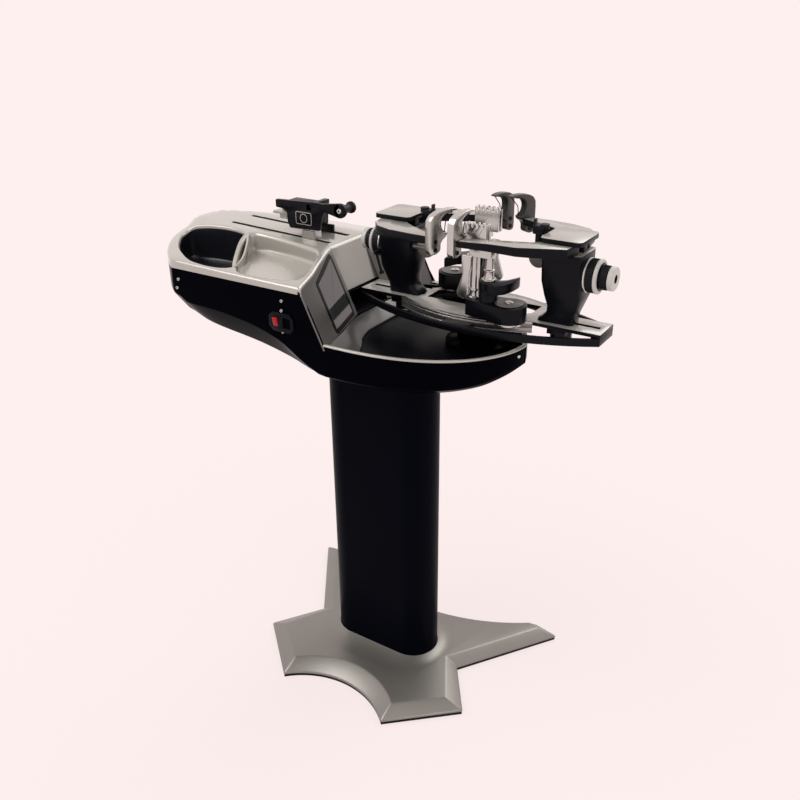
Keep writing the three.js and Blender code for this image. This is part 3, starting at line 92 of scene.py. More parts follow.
# Studio: a pale seamless room and three soft lamps
studio = SimpleNamespace(
    backdrop=(0.99, 0.871, 0.863),
    ambient=(1.0, 0.975, 0.955),
    ambientStrength=0.55,
    floorShare=0.22,
    floorColour=(0.95, 0.84, 0.83),
    floorReach=14,
    shadowReach=1.5,
    lamps=[
        SimpleNamespace(name="keyLamp", place=(-1.4, -1.3, 3.0), aim=(0.05, 0, 0.7), size=1.6, watts=36),
        SimpleNamespace(name="fillLamp", place=(2.6, -1.6, 2.0), aim=(0.1, 0, 0.7), size=1.4, watts=12),
        SimpleNamespace(name="backLamp", place=(0.6, 2.4, 2.7), aim=(0, 0, 0.8), size=2.0, watts=32),
    ],
)


def emptyTree(owner, output):
    owner.use_nodes = True
    tree = owner.node_tree
    tree.nodes.clear()
    return tree, tree.nodes.new(output).inputs[0]


def plainShader(tree, kind, colour):
    node = tree.nodes.new(kind)
    node.inputs["Color"].default_value = (*colour, 1)
    return node


def mixShaders(tree, factor, first, second):
    mix = tree.nodes.new("ShaderNodeMixShader")
    for socket, source in zip(mix.inputs, (factor, first.outputs[0], second.outputs[0])):
        tree.links.new(source, socket)
    return mix.outputs[0]


# A Math node whose terms are sockets or plain numbers
def mathNode(tree, operation, *terms):
    node = tree.nodes.new("ShaderNodeMath")
    node.operation = operation
    for socket, term in zip(node.inputs, terms):
        if isinstance(term, (int, float)):
            socket.default_value = term
        else:
            tree.links.new(term, socket)
    return node.outputs[0]


# The room's bare colour shows to the camera and in mirrors, and its softer light falls on the object
def seenDirectly(tree):
    path = tree.nodes.new("ShaderNodeLightPath").outputs
    seen = mathNode(tree, "MAXIMUM", path["Is Camera Ray"], path["Is Glossy Ray"])
    return mathNode(tree, "MAXIMUM", seen, path["Is Transmission Ray"])


def makeWorld(s):
    world = bpy.data.worlds.new("paleRoom")
    tree, surface = emptyTree(world, "ShaderNodeOutputWorld")
    light = plainShader(tree, "ShaderNodeBackground", s.ambient)
    light.inputs["Strength"].default_value = s.ambientStrength
    seen = plainShader(tree, "ShaderNodeBackground", s.backdrop)
    tree.links.new(mixShaders(tree, seenDirectly(tree), light, seen), surface)
    bpy.context.scene.world = world


def makeFloor(s):
    r = s.floorReach
    mesh = bpy.data.meshes.new("studioFloor")
    mesh.from_pydata([(-r, -r, -mm), (r, -r, -mm), (r, r, -mm), (-r, r, -mm)], [], [(0, 1, 2, 3)])
    floor = bpy.data.objects.new("studioFloor", mesh)
    bpy.context.scene.collection.objects.link(floor)
    paper = bpy.data.materials.new("studioPaper")
    tree, surface = emptyTree(paper, "ShaderNodeOutputMaterial")
    matt = plainShader(tree, "ShaderNodeBsdfDiffuse", s.floorColour)
    glow = plainShader(tree, "ShaderNodeEmission", s.backdrop)
    place = tree.nodes.new("ShaderNodeMapping")
    place.inputs["Scale"].default_value = (1 / s.shadowReach,) * 3
    tree.links.new(tree.nodes.new("ShaderNodeTexCoord").outputs["Object"], place.inputs["Vector"])
    fade = tree.nodes.new("ShaderNodeTexGradient")
    fade.gradient_type = "SPHERICAL"
    tree.links.new(place.outputs[0], fade.inputs[0])
    glowShare = mathNode(tree, "MULTIPLY_ADD", fade.outputs["Fac"], -s.floorShare, 1)
    share = mathNode(tree, "MULTIPLY", seenDirectly(tree), glowShare)
    tree.links.new(mixShaders(tree, share, matt, glow), surface)
    mesh.materials.append(paper)


def makeLamps(s):
    for lamp in s.lamps:
        data = bpy.data.lights.new(lamp.name, "AREA")
        data.size = lamp.size
        data.energy = lamp.watts
        obj = bpy.data.objects.new(lamp.name, data)
        obj.location = lamp.place
        aim = Vector(lamp.aim) - Vector(lamp.place)
        obj.rotation_euler = aim.to_track_quat("-Z", "Y").to_euler()
        bpy.context.scene.collection.objects.link(obj)


makeWorld(studio)
makeFloor(studio)
makeLamps(studio)
print("studio set")

paint = {}
reliefDepth = 0.0006
wearScale = 3.7


def noiseNode(tree, coords, scale):
    node = tree.nodes.new("ShaderNodeTexNoise")
    node.inputs["Scale"].default_value = scale
    node.inputs["Detail"].default_value = 3.0
    tree.links.new(coords, node.inputs["Vector"])
    return node.outputs["Fac"]


# A finish has two colours that mottle into each other, a range of roughness, and a fine grain.
# Scales count per metre of each piece's own object coordinates
def makeFinish(name, colour, other, mottle, rough, metallic=0.0, specular=0.5, grain=900, bump=0.02,
               coat=0.0, coatRough=0.05):
    mat = bpy.data.materials.new(name)
    mat.use_nodes = True
    tree = mat.node_tree
    shader = tree.nodes["Principled BSDF"]
    coords = tree.nodes.new("ShaderNodeTexCoord").outputs["Object"]
    blend = tree.nodes.new("ShaderNodeMix")
    blend.data_type = "RGBA"
    blend.inputs["A"].default_value = (*colour, 1)
    blend.inputs["B"].default_value = (*other, 1)
    tree.links.new(noiseNode(tree, coords, mottle), blend.inputs["Factor"])
    tree.links.new(blend.outputs["Result"], shader.inputs["Base Color"])
    wear = tree.nodes.new("ShaderNodeMapRange")
    wear.inputs["To Min"].default_value, wear.inputs["To Max"].default_value = rough
    tree.links.new(noiseNode(tree, coords, mottle * wearScale), wear.inputs["Value"])
    tree.links.new(wear.outputs["Result"], shader.inputs["Roughness"])
    relief = tree.nodes.new("ShaderNodeBump")
    relief.inputs["Strength"].default_value = bump
    relief.inputs["Distance"].default_value = reliefDepth
    tree.links.new(noiseNode(tree, coords, grain), relief.inputs["Height"])
    tree.links.new(relief.outputs["Normal"], shader.inputs["Normal"])
    for socket, value in (("Metallic", metallic), ("Specular IOR Level", specular), ("Coat Weight", coat),
                          ("Coat Roughness", coatRough)):
        shader.inputs[socket].default_value = value
    paint[name] = mat


casting = {"mottle": 5, "rough": (0.3, 0.38), "metallic": 0.6, "specular": 0.4, "grain": 1400, "bump": 0.1}
coverPaint = {"mottle": 3, "metallic": 0.2, "specular": 0.4, "grain": 400, "bump": 0.004}
makeFinish("blackPaint", (0.0024, 0.0027, 0.005), (0.0036, 0.004, 0.007), 14, (0.24, 0.34), specular=0.12,
           bump=0.04)
# Black paint drawn pale: a painted reflection of the bright room, for black parts' upward faces and for the
# head's tongue and jaw
makeFinish("paintedSheenOnBlack", (0.52, 0.495, 0.45), (0.36, 0.343, 0.315), 9, (0.2, 0.3), metallic=0.3, specular=0.4,
           coat=0.15, coatRough=0.12)
makeFinish("blackGloss", (0.0008, 0.0009, 0.0024), (0.0012, 0.0014, 0.0033), 6, (0.16, 0.24),
           specular=0.008, grain=160, bump=0.01)
makeFinish("columnPaint", (0.0009, 0.0014, 0.004), (0.0013, 0.002, 0.0052), 5, (0.3, 0.38), specular=0.02,
           grain=700, bump=0.03)
# One cover paint in three colours by face: the pale top and tray rim carry a painted reflection of the bright
# room, the darker slopes and tray ramp carry painted shade, and the lighter ridge front carries painted light
makeFinish("coverPaintedSheen", (0.50, 0.475, 0.425), (0.45, 0.428, 0.385), rough=(0.16, 0.24), coat=0.5,
           **{**coverPaint, "specular": 0.5})
makeFinish("coverPaintedShade", (0.16, 0.155, 0.146), (0.13, 0.126, 0.12), rough=(0.26, 0.34), coat=0.03,
           **coverPaint)
makeFinish("coverFront", (0.47, 0.45, 0.41), (0.40, 0.385, 0.352), rough=(0.18, 0.26), coat=0.15,
           **coverPaint)
makeFinish("castGrey", (0.30, 0.288, 0.262), (0.235, 0.226, 0.207), **casting)
# The far hooks' finish: the same steel as the near hooks, drawn dark as painted shade
makeFinish("farHookPaintedShade", (0.085, 0.082, 0.076), (0.06, 0.058, 0.054), **casting)
makeFinish("brushedSteel", (0.60, 0.59, 0.565), (0.50, 0.49, 0.47), 24, (0.2, 0.3), metallic=1.0,
           grain=1200, bump=0.01)
makeFinish("satinAluminium", (0.66, 0.65, 0.62), (0.58, 0.57, 0.545), 12, (0.24, 0.32), metallic=0.85,
           bump=0.008)
makeFinish("railMetal", (0.45, 0.44, 0.42), (0.22, 0.216, 0.208), 12, (0.2, 0.3), metallic=0.9, bump=0.008)
makeFinish("darkPlastic", (0.0038, 0.0042, 0.0065), (0.0065, 0.007, 0.010), 18, (0.34, 0.46), specular=0.16,
           grain=1600, bump=0.1)
makeFinish("binPlastic", (0.007, 0.0075, 0.011), (0.011, 0.0115, 0.016), 9, (0.2, 0.3), specular=0.4,
           grain=1500, bump=0.03)
makeFinish("trayBlack", (0.002, 0.0022, 0.004), (0.003, 0.0034, 0.006), 7, (0.3, 0.4), specular=0.08)
makeFinish("panelGlass", (0.062, 0.062, 0.062), (0.05, 0.05, 0.05), 4, (0.05, 0.08), grain=300, bump=0.002,
           coat=0.15, coatRough=0.02)
makeFinish("panelEdge", (0.002, 0.002, 0.003), (0.003, 0.003, 0.004), 20, (0.2, 0.3), specular=0.1,
           bump=0.01)
makeFinish("redPlastic", (0.4, 0.008, 0.01), (0.34, 0.007, 0.009), 40, (0.2, 0.28), specular=0.25)
makeFinish("whitePlastic", (0.66, 0.64, 0.60), (0.6, 0.58, 0.55), 30, (0.3, 0.4))
makeFinish("rubber", (0.012, 0.0125, 0.015), (0.019, 0.02, 0.023), 30, (0.55, 0.7), specular=0.3,
           grain=1400, bump=0.12)
print("finishes made")

# How pieces are rounded. Angles are in degrees, lengths in metres
rounding = SimpleNamespace(weld=2e-6, flat=1.0, crease=32, segments=2, smoothAt=38, upward=0.93)


def addPiece(name, mesh, body, nodes=()):
    piece = bpy.data.objects.new(name, mesh)
    bpy.context.scene.collection.objects.link(piece)
    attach(piece, body)
    if nodes:
        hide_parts(*nodes)
    return piece


def bodyOf(node):
    return frame["nodes"][node]["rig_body"]


# The mesh after one modifier. Group inputs of a Geometry Nodes modifier are set by their names
def withModifier(mesh, kind, settings, groupInputs=None):
    holder = bpy.data.objects.new("holder", mesh)
    bpy.context.scene.collection.objects.link(holder)
    step = holder.modifiers.new("step", kind)
    for key, value in settings.items():
        setattr(step, key, value)
    for item in step.node_group.interface.items_tree if groupInputs else ():
        if item.in_out == "INPUT" and item.name in groupInputs:
            step[item.identifier] = groupInputs[item.name]
    graph = bpy.context.evaluated_depsgraph_get()
    made = bpy.data.meshes.new_from_object(holder.evaluated_get(graph))
    bpy.data.objects.remove(holder)
    bpy.data.meshes.remove(mesh)
    return made


def smoothFaces(mesh, angle):
    mesh.shade_smooth()
    mesh.set_sharp_from_angle(angle=math.radians(angle))


def bevelled(mesh, width, segments, crease):
    return withModifier(mesh, "BEVEL", {"width": width, "segments": segments, "limit_method": "ANGLE",
                                        "angle_limit": math.radians(crease)})


def thickened(mesh, thickness, offset, smoothAt):
    made = withModifier(mesh, "SOLIDIFY", {"thickness": thickness * mm, "offset": offset})
    smoothFaces(made, smoothAt)
    return made


# A node's own form, with its facets joined and its edges rounded
def roundedMesh(node, width, r):
    mesh = frame["nodes"][node].data.copy()
    work = bmesh.new()
    work.from_mesh(mesh)
    bmesh.ops.remove_doubles(work, verts=work.verts, dist=r.weld)
    bmesh.ops.dissolve_limit(work, angle_limit=math.radians(r.flat), verts=work.verts, edges=work.edges,
                             delimit={"MATERIAL"})
    work.to_mesh(mesh)
    work.free()
    if width:
        mesh = bevelled(mesh, width, r.segments, r.crease)
    smoothFaces(mesh, r.smoothAt)
    return mesh


def pieceName(node):
    first, *others = node.split("_")
    return first + "".join(part.title() for part in others) + "Dressed"


# A node dressed in one finish, or in a second one where a test of a face says so
def dress(node, finish, width, second=None, where=None):
    mesh = roundedMesh(node, width, rounding)
    mesh.materials.clear()
    mesh.materials.append(paint[finish])
    mesh.polygons.foreach_set("material_index", [0] * len(mesh.polygons))
    if second:
        mesh.materials.append(paint[second])
        for face in mesh.polygons:
            face.material_index = int(where(face))
    addPiece(pieceName(node), mesh, bodyOf(node), [node])


# Upward faces above a height, which take the pale painted reflection finish
def upwardAbove(height):
    return lambda face: face.normal.z > rounding.upward and face.center.z > height * mm


# Mesh building: points are in millimetres until the mesh is made
class Form:
    def __init__(self, *finishNames):
        self.points = []
        self.faces = []
        self.kinds = []
        self.finishNames = finishNames

    def add(self, points):
        start = len(self.points)
        self.points.extend(tuple(p) for p in points)
        return list(range(start, start + len(points)))

    def face(self, index, kind=0):
        self.faces.append(tuple(index))
        self.kinds.append(kind)

    # Rows of points joined in order, each row closed or open
    def rows(self, rings, closed=True, kind=0, endCaps=False):
        index = [self.add(r) for r in rings]
        count = len(rings[0])
        for a, b in zip(index, index[1:]):
            for i in range(count if closed else count - 1):
                j = (i + 1) % count
                self.face((a[i], a[j], b[j], b[i]), kind)
        if endCaps:
            self.face(reversed(index[0]), kind)
            self.face(index[-1], kind)

    # A region with holes, its height given by a function of place
    def region(self, outer, holes, heightAt, grid=0.0):
        points, faces = fillRegion(outer, holes, grid)
        index = self.add([(x, y, heightAt(x, y)) for x, y in points])
        for f in faces:
            self.face([index[i] for i in f])

    def mesh(self, name, weld=0.02, smoothAt=38, width=0.0, segments=2, crease=32):
        made = bpy.data.meshes.new(name)
        made.from_pydata([[c * mm for c in p] for p in self.points], [], self.faces)
        for finish in self.finishNames:
            made.materials.append(paint[finish])
        made.polygons.foreach_set("material_index", self.kinds)
        work = bmesh.new()
        work.from_mesh(made)
        bmesh.ops.remove_doubles(work, verts=work.verts, dist=weld * mm)
        bmesh.ops.dissolve_degenerate(work, edges=work.edges, dist=weld * mm)
        bmesh.ops.recalc_face_normals(work, faces=work.faces)
        work.to_mesh(made)
        work.free()
        if width:
            made = bevelled(made, width * mm, segments, crease)
        smoothFaces(made, smoothAt)
        return made

    def piece(self, name, body="stand", nodes=(), **shape):
        addPiece(name, self.mesh(name, **shape), body, nodes)


# Curves and outlines. A corner's arc takes up to a share of its shorter side, and a flat corner has none
cornerLimits = SimpleNamespace(share=0.48, shortest=0.001, flattest=176)


def hermite(t):
    return 2 * t**3 - 3 * t**2 + 1, t**3 - 2 * t**2 + t, 3 * t**2 - 2 * t**3, t**3 - t**2


# A smooth value between the rows of a table, without overshoot
def easeTable(rows, x):
    xs = [r[0] for r in rows]
    if x <= xs[0]:
        return rows[0][1]
    if x >= xs[-1]:
        return rows[-1][1]
    steps = [(b[1] - a[1]) / (b[0] - a[0]) for a, b in zip(rows, rows[1:])]

    def slopeAt(k):
        if k == 0:
            return steps[0]
        if k == len(rows) - 1:
            return steps[-1]
        a, b = steps[k - 1], steps[k]
        return 0.0 if a * b <= 0 else 2 * a * b / (a + b)

    i = min(bisect.bisect_right(xs, x), len(rows) - 1) - 1
    span = xs[i + 1] - xs[i]
    a, b, c, d = hermite((x - xs[i]) / span)
    leave, arrive = slopeAt(i) * span, slopeAt(i + 1) * span
    return a * rows[i][1] + b * leave + c * rows[i + 1][1] + d * arrive


# A straight value between the rows of a table
def lineTable(rows, x):
    if x <= rows[0][0]:
        return rows[0][1]
    for (x0, y0), (x1, y1) in zip(rows, rows[1:]):
        if x <= x1:
            return y0 + (y1 - y0) * (x - x0) / (x1 - x0)
    return rows[-1][1]


def spread(start, end, steps):
    return [start + (end - start) * i / steps for i in range(steps + 1)]


def scaled(rows, width, height=1.0):
    return [(x * width, y * height) for x, y in rows]


def atHeight(loop, z):
    return [(x, y, z) for x, y in loop]


# A closed outline with every corner turned into an arc. One radius, or one for each corner
def filleted(points, radius, steps=8):
    made = []
    count = len(points)
    for i, p in enumerate(points):
        r = radius[i] if isinstance(radius, list) else radius
        before, here, after = Vector(points[i - 1]), Vector(p), Vector(points[(i + 1) % count])
        a, b = before - here, after - here
        reach = min(a.length, b.length) * cornerLimits.share
        if r <= 0 or reach < cornerLimits.shortest or a.angle(b) > math.radians(cornerLimits.flattest):
            made.extend([tuple(here)] * (steps + 1))
            continue
        back = min(r / math.tan(a.angle(b) / 2), reach)
        start, end = here + a.normalized() * back, here + b.normalized() * back
        for k in range(steps + 1):
            t = k / steps
            made.append(tuple(start.lerp(here, t).lerp(here.lerp(end, t), t)))
    return made


def openFilleted(points, radius, steps=6):
    closed = filleted(points, [0] + [radius] * (len(points) - 2) + [0], steps)
    return [points[0]] + closed[steps + 1:-(steps + 1)] + [points[-1]]


# A closed curve through every point
def smoothLoop(points, tension, steps):
    made = []
    count = len(points)
    for i in range(count):
        before, start, end, after = (Vector(points[(i + k) % count]) for k in (-1, 0, 1, 2))
        for k in range(steps):
            a, b, c, d = hermite(k / steps)
            out = a * start + c * end
            out += b * tension * (end - before) + d * tension * (after - start)
            made.append(tuple(out))
    return made


# A circular arc over a chord, rising to the left of it
def arch(start, end, rise, steps):
    a, b = Vector(start), Vector(end)
    along = b - a
    chord = along.length
    radius = chord * chord / (8 * abs(rise)) + abs(rise) / 2
    half = math.asin(chord / (2 * radius))
    made = []
    for i in range(steps + 1):
        angle = half * (2 * i / steps - 1)
        run = radius * math.sin(angle) + chord / 2
        lift = math.copysign(1, rise) * (radius * math.cos(angle) - radius * math.cos(half))
        made.append((a.x + (along.x * run - along.y * lift) / chord,
                     a.y + (along.y * run + along.x * lift) / chord))
    return made


def circle(cx, cy, radius, steps):
    turns = [2 * math.pi * i / steps for i in range(steps)]
    return [(cx + radius * math.cos(turn), cy + radius * math.sin(turn)) for turn in turns]


def stadium(length, width, steps=24):
    radius, reach = width / 2, (length - width) / 2
    turns = [math.pi * (i / steps - 0.5) for i in range(steps + 1)]
    half = [(reach + radius * math.cos(turn), radius * math.sin(turn)) for turn in turns]
    return half + [(-x, -y) for x, y in half]


def boxLoop(x0, x1, y0, y1):
    return [(x0, y0), (x1, y0), (x1, y1), (x0, y1)]


def roundBox(x0, x1, y0, y1, radius, steps=6):
    return filleted([(x1, y1), (x0, y1), (x0, y0), (x1, y0)], radius, steps)


# Each point moved sideways, to the left of the way the outline runs
def offsetLoop(points, distance):
    made = []
    count = len(points)
    for i, (x, y) in enumerate(points):
        dx = points[(i + 1) % count][0] - points[i - 1][0]
        dy = points[(i + 1) % count][1] - points[i - 1][1]
        size = math.hypot(dx, dy) or 1
        made.append((x - dy * distance / size, y + dx * distance / size))
    return made


def counterClockwise(points):
    area = sum(a[0] * b[1] - b[0] * a[1] for a, b in zip(points, points[1:] + points[:1]))
    return points if area > 0 else points[::-1]


def insideOf(loop, x, y):
    inside = False
    for (x0, y0), (x1, y1) in zip(loop, loop[1:] + loop[:1]):
        if (y0 > y) != (y1 > y) and x < (x1 - x0) * (y - y0) / (y1 - y0) + x0:
            inside = not inside
    return inside


# A flat region with holes, cut into triangles, with spare points on a grid away from its rims
def fillRegion(outer, holes, grid=0.0, margin=0.4):
    points = []
    edges = []
    for loop in [outer, *holes]:
        start = len(points)
        points.extend(Vector(p) for p in loop)
        edges.extend((start + i, start + (i + 1) % len(loop)) for i in range(len(loop)))

    def within(x, y):
        return insideOf(outer, x, y) and not any(insideOf(h, x, y) for h in holes)

    if grid:
        xs, ys = [p[0] for p in outer], [p[1] for p in outer]
        rim = [p.copy() for p in points]
        for i in range(int((max(xs) - min(xs)) / grid)):
            for k in range(int((max(ys) - min(ys)) / grid)):
                x, y = min(xs) + (i + 0.5) * grid, min(ys) + (k + 0.5) * grid
                nearest = min((p.x - x) ** 2 + (p.y - y) ** 2 for p in rim)
                if within(x, y) and nearest > (grid * margin) ** 2:
                    points.append(Vector((x, y)))
    made, _, faces, *_ = delaunay_2d_cdt(points, edges, [], 0, 1e-4)
    centres = [(sum(made[i].x for i in f) / len(f), sum(made[i].y for i in f) / len(f)) for f in faces]
    return [(p.x, p.y) for p in made], [tuple(f) for f, centre in zip(faces, centres) if within(*centre)]


# Rings that roll the foot of a wall into a floor
def rolledFoot(loop, inset, radius, floor, steps):
    rings = []
    for k in range(steps + 1):
        angle = quarter * k / steps
        ring = offsetLoop(loop, inset + radius * (1 - math.cos(angle)))
        rings.append(atHeight(ring, floor + radius * (1 - math.sin(angle))))
    return rings


# A profile of radius and height, turned about an axis
def lathe(form, profile, origin, axis, steps=48, kinds=None):
    turn = Vector(axis).to_track_quat("Z", "Y")
    rings = [[Vector(origin) + turn @ Vector((x, y, h)) for x, y in circle(0, 0, r, steps)]
             for r, h in profile]
    for k, pair in enumerate(zip(rings, rings[1:])):
        form.rows(pair, True, kinds[k] if kinds else 0)


# Half-turntable places: u outwards, v across, z up from the plate's top
table = SimpleNamespace(x=216, z=889)


def outward(side):
    return 1 if side == "right" else -1


def onTable(side, u, v, z):
    return (table.x + outward(side) * u, outward(side) * v, table.z + z)


def turnedToSide(form, side):
    form.points = [onTable(side, *p) for p in form.points]
    return form


print("tools ready")

# The stand: a star foot with a bevelled cover, and the column
footStar = SimpleNamespace(
    frontLegTip=132, frontLegReach=232, frontLegWidth=265, frontLegCorner=113, sideNotch=191,
    sideNotchDepth=5, rearLegTip=340, rearLegReach=211, rearLegInner=284, rearLegEnd=223,
    frontArch=54, rearArch=99, bevel=42, sideBevel=30, tipBevel=26, low=6.3, rim=12,
    shoulder=28, arcSteps=40, edge=3.0, plateInset=1.5, plateEdge=0.8,
    swell=7, swellX=28, swellY=56, swellSteps=10, swellPower=2.4, swellSink=2,
)
columnTube = SimpleNamespace(length=252, width=113, wall=4, low=6.3, top=800, recess=1.5)


def footOutline(f, inset, sideInset, tipInset):
    front = (f.frontLegTip, -f.frontLegReach + inset)
    rear = (f.rearLegInner - tipInset / 2, f.rearLegEnd - inset / 2)
    right = [(f.frontLegWidth - inset, -f.frontLegCorner),
             (f.sideNotch - sideInset, -f.sideNotchDepth),
             (f.rearLegTip - tipInset - sideInset / 2, f.rearLegReach - tipInset / 2)]
    arc = arch((-front[0], front[1]), front, f.frontArch, f.arcSteps)
    back = arch(rear, (-rear[0], rear[1]), f.rearArch - tipInset / 2, f.arcSteps)
    return arc + right + back + [(-x, y) for x, y in reversed(right)]


def makeFoot(f):
    form = Form("castGrey")
    low = footOutline(f, 0, 0, 0)
    high = footOutline(f, f.bevel, f.sideBevel, f.tipBevel)
    form.rows([atHeight(low, f.low), atHeight(low, f.rim), atHeight(high, f.shoulder)], endCaps=True)
    form.piece("footCover", "stand", ["base_cover"], width=f.edge, segments=3, crease=14, smoothAt=50)


# The cover swells up to the column in a soft skirt
def makeFootHub(f, c):
    form = Form("castGrey")
    rings = []
    for share in spread(1, 0, f.swellSteps):
        loop = stadium(c.length + 2 * c.recess + 2 * f.swellX * share,
                       c.width + 2 * c.recess + 2 * f.swellY * share, 40)
        rings.append(atHeight(loop, f.shoulder + f.swell * (1 - share) ** f.swellPower))
    rings.append(atHeight(loop, f.shoulder - f.swellSink))
    form.rows(rings)
    form.piece("footHub", smoothAt=60)


def makeFootPlate(f):
    form = Form("blackPaint")
    edge = footOutline(f, f.plateInset, f.plateInset, f.plateInset)
    form.rows([atHeight(edge, 0), atHeight(edge, f.low)], endCaps=True)
    form.piece("footPlate", "stand", ["base_plate"], width=f.plateEdge, crease=14)


def makeColumn(c):
    form = Form("columnPaint")
    outer = stadium(c.length, c.width, 48)
    inner = stadium(c.length - 2 * c.wall, c.width - 2 * c.wall, 48)
    form.rows([atHeight(inner, c.top), atHeight(outer, c.top), atHeight(outer, c.low),
               atHeight(inner, c.low), atHeight(inner, c.top)])
    form.piece("columnTube", "stand", ["column"])


makeFoot(footStar)
makeFootHub(footStar, columnTube)
makeFootPlate(footStar)
makeColumn(columnTube)
print("stand made")

# The housing's plan, shared by the shell, the cover and the tray
plan = SimpleNamespace(
    left=480, right=335, near=235, far=177, seam=935, depth=163, crown=33,
    cornerStart=325, cornerEnd=14, cornerBulge=26, slopeTop=-8, slopeFoot=33, rim=849,
    tip=50, footHeight=842, trayNear=(2.5, 1.9), trayFar=(2.2, 1.25), cornerSteps=20,
    wallSteps=24, traySteps=44, wall=4,
)
ridge = SimpleNamespace(half=53, frontTop=-80, topHeight=963, frontFoot=-49, footHeight=883)
cornerArc = arch((-plan.left, plan.cornerEnd), (-plan.cornerStart, plan.near),
                 plan.cornerBulge, 48)


def traySide(share, wide, curve):
    return max(0.0, 1 - share ** curve[0]) ** (1 / curve[1]) * wide


def trayShare(x):
    return min(1, (x - plan.slopeFoot) / (plan.right - plan.slopeFoot))


# How far the wall stands from the middle line on each side
def planNear(x):
    if x <= plan.slopeFoot:
        return lineTable(cornerArc, x)
    return plan.tip + traySide(trayShare(x), plan.near - plan.tip, plan.trayNear)


def planFar(x):
    if x <= plan.slopeFoot:
        return planNear(x) * plan.far / plan.near
    return traySide(trayShare(x), plan.far + plan.tip, plan.trayFar) - plan.tip


def planStations():
    p = plan
    turns = [quarter * i / p.cornerSteps for i in range(p.cornerSteps + 1)]
    corner = [-p.left + (p.left - p.cornerStart) * (1 - math.cos(turn)) for turn in turns]
    straight = spread(-p.cornerStart, p.slopeFoot, p.wallSteps)[1:]
    turns = [quarter * i / p.traySteps for i in range(1, p.traySteps + 1)]
    tray = [p.slopeFoot + (p.right - p.slopeFoot) * math.sin(turn) for turn in turns]
    return corner + straight + tray


# The three sloped faces in front: x on a face for a place across and a height
slopeRun = SimpleNamespace(across=0.32226, rise=0.47674)
slopeShift = (plan.near - plan.far) * slopeRun.across


def slopeX(y, z):
    if abs(y) < ridge.half:
        run, fall = ridge.frontFoot - ridge.frontTop, ridge.topHeight - ridge.footHeight
        return ridge.frontTop + (ridge.topHeight - z) * run / fall
    inwards, upwards = plan.near - abs(y), z - plan.seam
    return plan.slopeTop - slopeRun.across * inwards - slopeRun.rise * upwards


def onSlope(row, z):
    return [(slopeX(p[1], z), p[1], z) for p in row]


# Lower shell: edge and underside heights as shares of the depth under the seam, by shares of the left reach
shellForm = SimpleNamespace(
    edge=[(-1, 0.3), (-0.66, 0.3), (-0.625, 0.385), (-0.45, 0.405), (-0.3, 0.455), (-0.15, 0.57),
             (-0.02, 0.79), (0.06, 0.88), (0.4, 0.86), (0.55, 0.83), (0.62, 0.79), (0.67, 0.72), (0.7, 0.67)],
    underside=[(-1, 0.36), (-0.66, 0.58), (-0.56, 0.68), (-0.3, 0.78), (-0.15, 0.87), (-0.02, 0.98),
                  (0.04, 1), (0.25, 0.98), (0.45, 0.94), (0.6, 0.86), (0.67, 0.77), (0.7, 0.71)],
    chamfer=0.085, fillet=7, filletShare=0.6, smallest=0.1,
)


def shellSection(s, x, inset):
    p = plan
    near, back = planNear(x) - inset, planFar(x) - inset

    def under(name):
        return p.seam - p.depth * easeTable(scaled(getattr(s, name), p.left), x) + inset

    def top(shift):
        return lineTable([(p.slopeTop - shift, p.seam), (p.slopeFoot - shift, p.rim)], x)

    edge, low = under("edge"), under("underside")
    turn = (near + back) * s.chamfer
    radius = min(s.fillet, max(s.smallest, turn * s.filletShare))
    flat = openFilleted([(-near, top(0)), (-near, edge), (-near + turn, low), (back - turn, low),
                         (back, edge), (back, top(slopeShift))], radius, 5)
    return [(x, y, z) for y, z in flat]


def makeLowerShell(s):
    form = Form("blackGloss")
    stations = planStations()
    first, last = stations[0] + plan.wall, stations[-1] - plan.wall
    outer = [shellSection(s, x, 0) for x in stations]
    inner = [shellSection(s, min(max(x, first), last), plan.wall) for x in stations]
    form.rows(outer, closed=False)
    form.rows(inner, closed=False)
    for k in (0, -1):
        form.rows([[section[k] for section in outer], [section[k] for section in inner]], closed=False)
    for k in (0, -1):
        form.rows([outer[k], inner[k]], closed=False)
        form.face(form.add(outer[k]))
        form.face(form.add(inner[k]))
    form.piece("lowerShell", "stand", ["lower_shell"], smoothAt=34)
    print("lower shell made")


makeLowerShell(shellForm)

# Top cover: a crowned sheet with rolled edges, two pockets and two slots.
# Crown and pocket places are shares of the housing's reach to the left and to the near side
coverForm = SimpleNamespace(
    near=[(0, 1), (0.26, 1), (0.45, 0.88), (0.72, 0.56), (0.93, 0.47), (0.985, 0.4), (1, 0.38)],
    far=[(0, 1), (0.34, 1), (0.62, 0.74), (0.93, 0.36), (0.985, 0.3), (1, 0.28)],
    crown=[(-1, 0.62), (-0.985, 0.95), (-0.955, 1.15), (-0.9, 1.26), (-0.74, 1.24), (-0.39, 1.05),
              (-0.16, 0.97)],
    shoulder=7, roll=7, steps=6, grid=14, thickness=3.0, wallEnd=-60, seamLift=0.4,
    guess=20, rounds=12, ridgeGap=0.01, nearSteps=26, ridgeSteps=18, farSteps=20,
    pocket=[(-0.872, -0.47), (-0.85, -0.33), (-0.58, -0.32), (-0.4, -0.885), (-0.59, -0.935),
               (-0.755, -0.74)],
    dish=[(-0.55, -0.3), (-0.2, -0.36), (-0.12, -0.64), (-0.115, -0.86), (-0.16, -0.92), (-0.365, -0.905)],
    tension=0.4, curveSteps=14, pocketLip=5, pocketWall=12,
    dishLip=8, dishFloor=938, dishFoot=9, dishInset=1.5,
    slotOffset=31, slotWidth=12, slotStart=-352, slotEnd=-98, slotCorner=5.4, slotLip=1.2,
    slotDepth=9,
)


